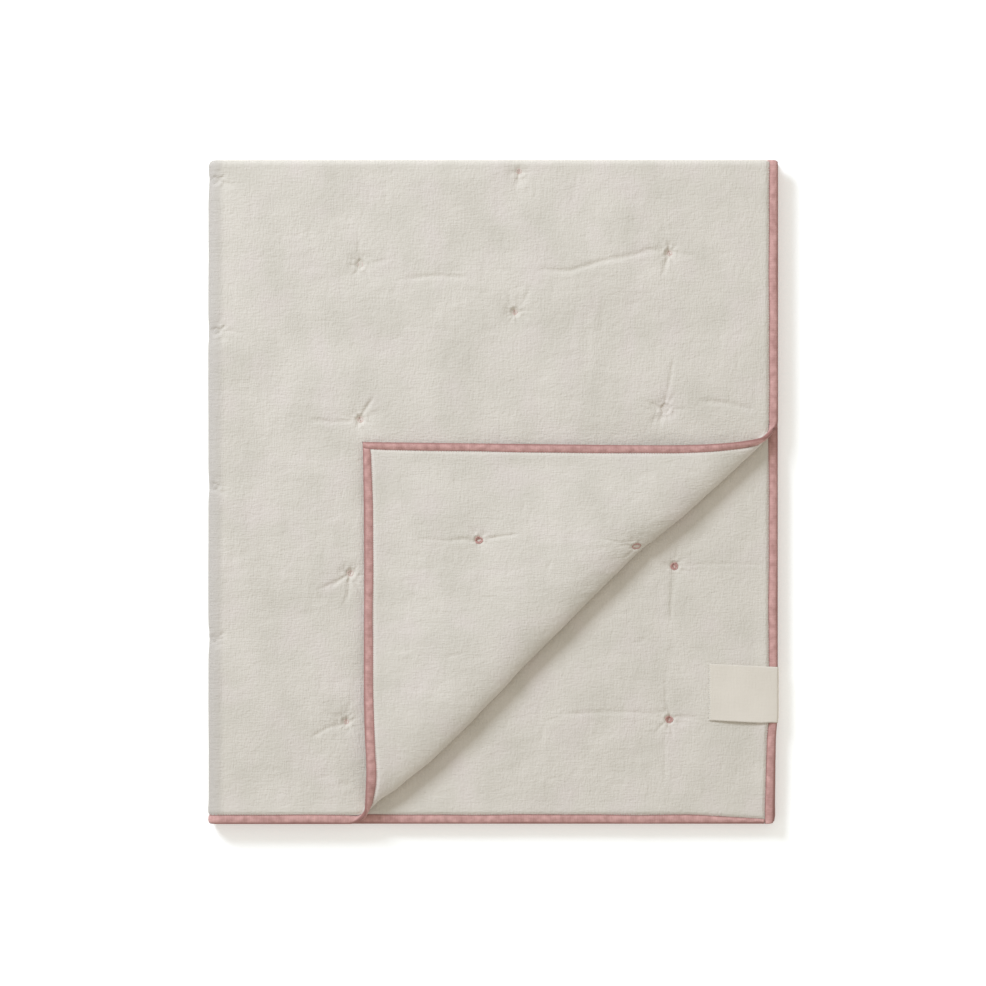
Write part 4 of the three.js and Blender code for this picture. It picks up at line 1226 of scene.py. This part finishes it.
def washed_cotton(name, light, dark, rose, crinkle=1.0, fold_shade_colour=None):
    """Thin plain-woven cotton, washed after quilting, so that it is matt and finely crinkled."""
    material, tree = new_material(name)
    in_mm = place_in_mm(tree)
    drawn = {}
    for key, row in COTTON_PATTERNS.items():
        scale, shift = (1 / row.across, 1 / row.down, 1), (row.shift, 2 * row.shift, 0)
        spot = add_node(tree, "ShaderNodeMapping", {"Vector": in_mm, "Scale": scale, "Location": shift})
        inputs = {"Vector": spot.outputs[0], "Scale": 1.0, "Detail": row.detail, "Roughness": row.rough}
        drawn[key] = add_node(tree, "ShaderNodeTexNoise", inputs, noise_dimensions="2D").outputs["Fac"]
    slubs = [drawn["weft slubs"], drawn["warp slubs"]]
    relief = [(pattern, SLUB_RELIEF) for pattern in slubs]
    relief += [(drawn[key], CRINKLE_RELIEF * crinkle) for key in ("crinkle across", "crinkle down")]
    height = added_up(tree, relief + [(drawn["weave"], WEAVE_RELIEF)])
    bump = add_node(tree, "ShaderNodeBump", {"Height": height, "Strength": 1.0, "Distance": MM})
    shade = added_up(tree, [(drawn["patches"], 0.8)] + [(pattern, 0.2) for pattern in slubs])
    rosy = {"Value": drawn["rosy patches"], "From Min": 0.5, "From Max": 0.8, "To Max": 0.55}
    layers = [
        (add_node(tree, "ShaderNodeMapRange", inputs).outputs[0], over)
        for inputs, over in (({"Value": shade, "From Min": 0.35, "From Max": 0.85}, dark), (rosy, rose))
    ]
    if fold_shade_colour:
        # Painted shade on the outside of the side fold, darkest at its middle
        from_fold = add_node(tree, "ShaderNodeSeparateXYZ", {0: in_mm}).outputs[0]
        off_fold = add_node(tree, "ShaderNodeMath", {0: from_fold}, operation="ABSOLUTE").outputs[0]
        inputs = {"Value": off_fold, "From Min": 0.5, "From Max": FOLD_SHADE_REACH, "To Min": 1.0, "To Max": 0.0}
        painted_fold_shade = add_node(tree, "ShaderNodeMapRange", inputs, interpolation_type="SMOOTHSTEP").outputs[0]
        layers.append((painted_fold_shade, fold_shade_colour))
    colour = laid_over(tree, light, layers)
    look = {"Roughness": 0.92, "Specular IOR Level": 0.25, "Sheen Weight": 0.12, "Sheen Roughness": 0.6}
    finish_material(tree, {"Base Color": colour, "Normal": bump.outputs["Normal"], **look})
    return material


# The tape's cross ribs lie this far apart; a wave pattern turns once over 20 units at scale 2 pi / 20
RIB_PITCH = 2.6
RIB_SHARE = 0.08
RIBS = {"Scale": 2 * math.pi / 20 / RIB_PITCH, "Distortion": 2.2, "Detail": 2.0, "Detail Scale": 1.5}
FIBRE = {"Scale": 0.8, "Detail": 3.0}
WORN = {"Scale": 0.13, "Detail": 3.0}
# How far past the cut edge the painted shade along the tape's fold lines reaches full depth, and where it
# begins
TAPE_SHADE_BANDS = [{"full": 1.4, "none": -1.6}, {"full": -8.2, "none": -6.6}]


def bound_tape(name, light, dark, painted_shade_colour):
    """Bias-cut cotton tape, sewn over the edge: its cross threads draw it into fine ribs."""
    material, tree = new_material(name)
    in_mm = place_in_mm(tree)
    ribs = add_node(tree, "ShaderNodeTexWave", {"Vector": in_mm, **RIBS}, bands_direction="X").outputs["Fac"]
    fibre, worn = (
        add_node(tree, "ShaderNodeTexNoise", {"Vector": in_mm, **row}, noise_dimensions="2D").outputs["Fac"]
        for row in (FIBRE, WORN)
    )
    height = added_up(tree, [(fibre, 1.0), (ribs, RIB_SHARE)])
    bump = add_node(tree, "ShaderNodeBump", {"Height": height, "Strength": 0.8, "Distance": 0.5 * MM})
    mixed = added_up(tree, [(worn, 1.0), (ribs, RIB_SHARE)])
    worn_light = add_node(tree, "ShaderNodeMapRange", {"Value": mixed, "From Min": 0.3, "From Max": 0.82})
    layers = [(worn_light.outputs[0], light)]
    # Painted shade along the tape's two folds: the outer one, and the inner one beside the stitches
    from_edge = add_node(tree, "ShaderNodeSeparateXYZ", {0: in_mm}).outputs[1]
    for fold in TAPE_SHADE_BANDS:
        inputs = {"Value": from_edge, "From Min": fold["none"], "From Max": fold["full"]}
        at_fold = add_node(tree, "ShaderNodeMapRange", inputs, interpolation_type="SMOOTHSTEP").outputs[0]
        layers.append((at_fold, painted_shade_colour))
    colour = laid_over(tree, dark, layers)
    look = {"Roughness": 0.8, "Specular IOR Level": 0.3, "Sheen Weight": 0.15, "Sheen Roughness": 0.5}
    finish_material(tree, {"Base Color": colour, "Normal": bump.outputs["Normal"], **look})
    return material


def plain_material(name, hex_colour, roughness, **inputs):
    material, tree = new_material(name)
    finish_material(tree, {"Base Color": linear(hex_colour), "Roughness": roughness, **inputs})
    return material


# Cotton: warm off-white and matt, with soft darker and rosy patches, a fine crinkle and painted shade along the
# side fold
cotton = washed_cotton("washed cotton", "#ddd3c4", "#d1c8b8", "#ddd0c5", fold_shade_colour="#b9b0a5")
# Tape: dusty rose, lighter where it is worn, with painted shade along both folds
tape_cloth = bound_tape("rose binding tape", "#d7a89e", "#b5877e", "#9c6e65")
# Tacks: a dull rose thread on the inner face, and one that is nearly lost in the cloth on the outer face
tack_thread = plain_material("rose tack thread", "#c2968b", 0.7)
back_thread = plain_material("pale rose tack thread", "#d8bbb0", 0.7)
# Hem stitches: small rose dashes beside the tape
hem_thread = plain_material("rose sewing thread", "#c98f8b", 0.6)
# Label: the same off-white, but close and nearly smooth
label_cloth = washed_cotton("close woven label tape", "#e2d7c6", "#dbd0bf", "#e0d5c5", crinkle=0.3)
# Label stitches: small ivory dashes over its inner end
label_thread = plain_material("ivory sewing thread", "#f0ece0", 0.6)

outer = cloth_face("quilt_outer_face", 1)
inner = cloth_face("quilt_inner_face", -1)
for piece in (outer, inner):
    piece.data.materials.append(cotton)
    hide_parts("quilt")

tapes = []
for piece, node_name in (
    (side_tape("tape_right", 1), "binding_right"),
    (side_tape("tape_left", -1), "binding_left"),
    (end_tape("tape_bottom", 1), "binding_bottom"),
    (end_tape("tape_top", -1), "binding_top"),
):
    piece.data.materials.append(tape_cloth)
    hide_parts(node_name)
    tapes.append(piece)

label = label_piece("label_leaf")
label.data.materials.append(label_cloth)
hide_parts("label")

threads = []
for name, strands, radius, thread, slot in (
    ("tack_rings", tack_strands(), TACK_THREAD, tack_thread, "tape"),
    ("tack_backs", tack_back_strands(), BACK_THREAD, back_thread, "tape"),
    ("hem_stitches", hem_strands(), HEM_THREAD, hem_thread, "tape"),
    ("label_stitches", label_strands(), LABEL_THREAD, label_thread, "label"),
):
    piece = strands_piece(name, strands, radius)
    piece.data.materials.append(thread)
    threads.append(piece)

for piece in (outer, inner, label, *threads, *tapes):
    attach(piece, "root")

# Floor, light and camera: looked at from straight above, as far off as a tall tripod stands
FLOOR_HALF = 3.0
FLOOR_GLOW = 0.3
WINDOW_SIZE = 1.6
WINDOW_POWER = 197
WINDOW_TINT = (0.88, 1.0, 1.2)
WINDOW_PLACE = Vector((-2.9, 3.29, 3.0))
ROOM_TINT = (1.0, 1.0, 0.98, 1.0)
ROOM_LIGHT = {"To Min": 0.4, "To Max": 0.74}
PIXEL = 1.056 * MM
PHOTO_WIDTH = 986
CAMERA_HEIGHT = 6.0
SENSOR_WIDTH = 36

floor_mesh = bpy.data.meshes.new("floor")
corners = [(x * FLOOR_HALF, y * FLOOR_HALF, 0) for x, y in ((-1, -1), (1, -1), (1, 1), (-1, 1))]
floor_mesh.from_pydata(corners, [], [(0, 1, 2, 3)])
floor = bpy.data.objects.new("floor", floor_mesh)
bpy.context.scene.collection.objects.link(floor)
# The floor is a lit white table, so it stays white and its shadows are faint
glow = {"Emission Color": (1.0, 1.0, 1.0, 1.0), "Emission Strength": FLOOR_GLOW}
table = plain_material("lit white table", "#f4f2ea", 0.9, **{"Specular IOR Level": 0.1}, **glow)
floor_mesh.materials.append(table)

window_data = bpy.data.lights.new("window", "AREA")
window_data.shape = "SQUARE"
window_data.size = WINDOW_SIZE
window_data.energy = WINDOW_POWER
window_data.color = WINDOW_TINT
window = bpy.data.objects.new("window", window_data)
window.location = WINDOW_PLACE
window.rotation_euler = WINDOW_PLACE.to_track_quat("Z", "Y").to_euler()
bpy.context.scene.collection.objects.link(window)

world = bpy.data.worlds.new("studio")
bpy.context.scene.world = world
world.use_nodes = True
background = world.node_tree.nodes["Background"]
background.inputs["Color"].default_value = ROOM_TINT
# The studio's pale ceiling is the brightest part of the room
towards = add_node(world.node_tree, "ShaderNodeTexCoord").outputs["Generated"]
upwards = add_node(world.node_tree, "ShaderNodeSeparateXYZ", {0: towards}).outputs[2]
room_light = add_node(world.node_tree, "ShaderNodeMapRange", {"Value": upwards, **ROOM_LIGHT}).outputs[0]
world.node_tree.links.new(room_light, background.inputs["Strength"])

camera_data = bpy.data.cameras.new("camera")
camera_data.sensor_width = SENSOR_WIDTH
camera_data.lens = SENSOR_WIDTH * CAMERA_HEIGHT / (PHOTO_WIDTH * PIXEL)
camera_data.clip_start, camera_data.clip_end = 0.1, 50
camera = bpy.data.objects.new("camera", camera_data)
camera.location = (0, -1 * PIXEL, CAMERA_HEIGHT)
bpy.context.scene.collection.objects.link(camera)
bpy.context.scene.camera = camera
bpy.context.scene.view_settings.view_transform = "Standard"
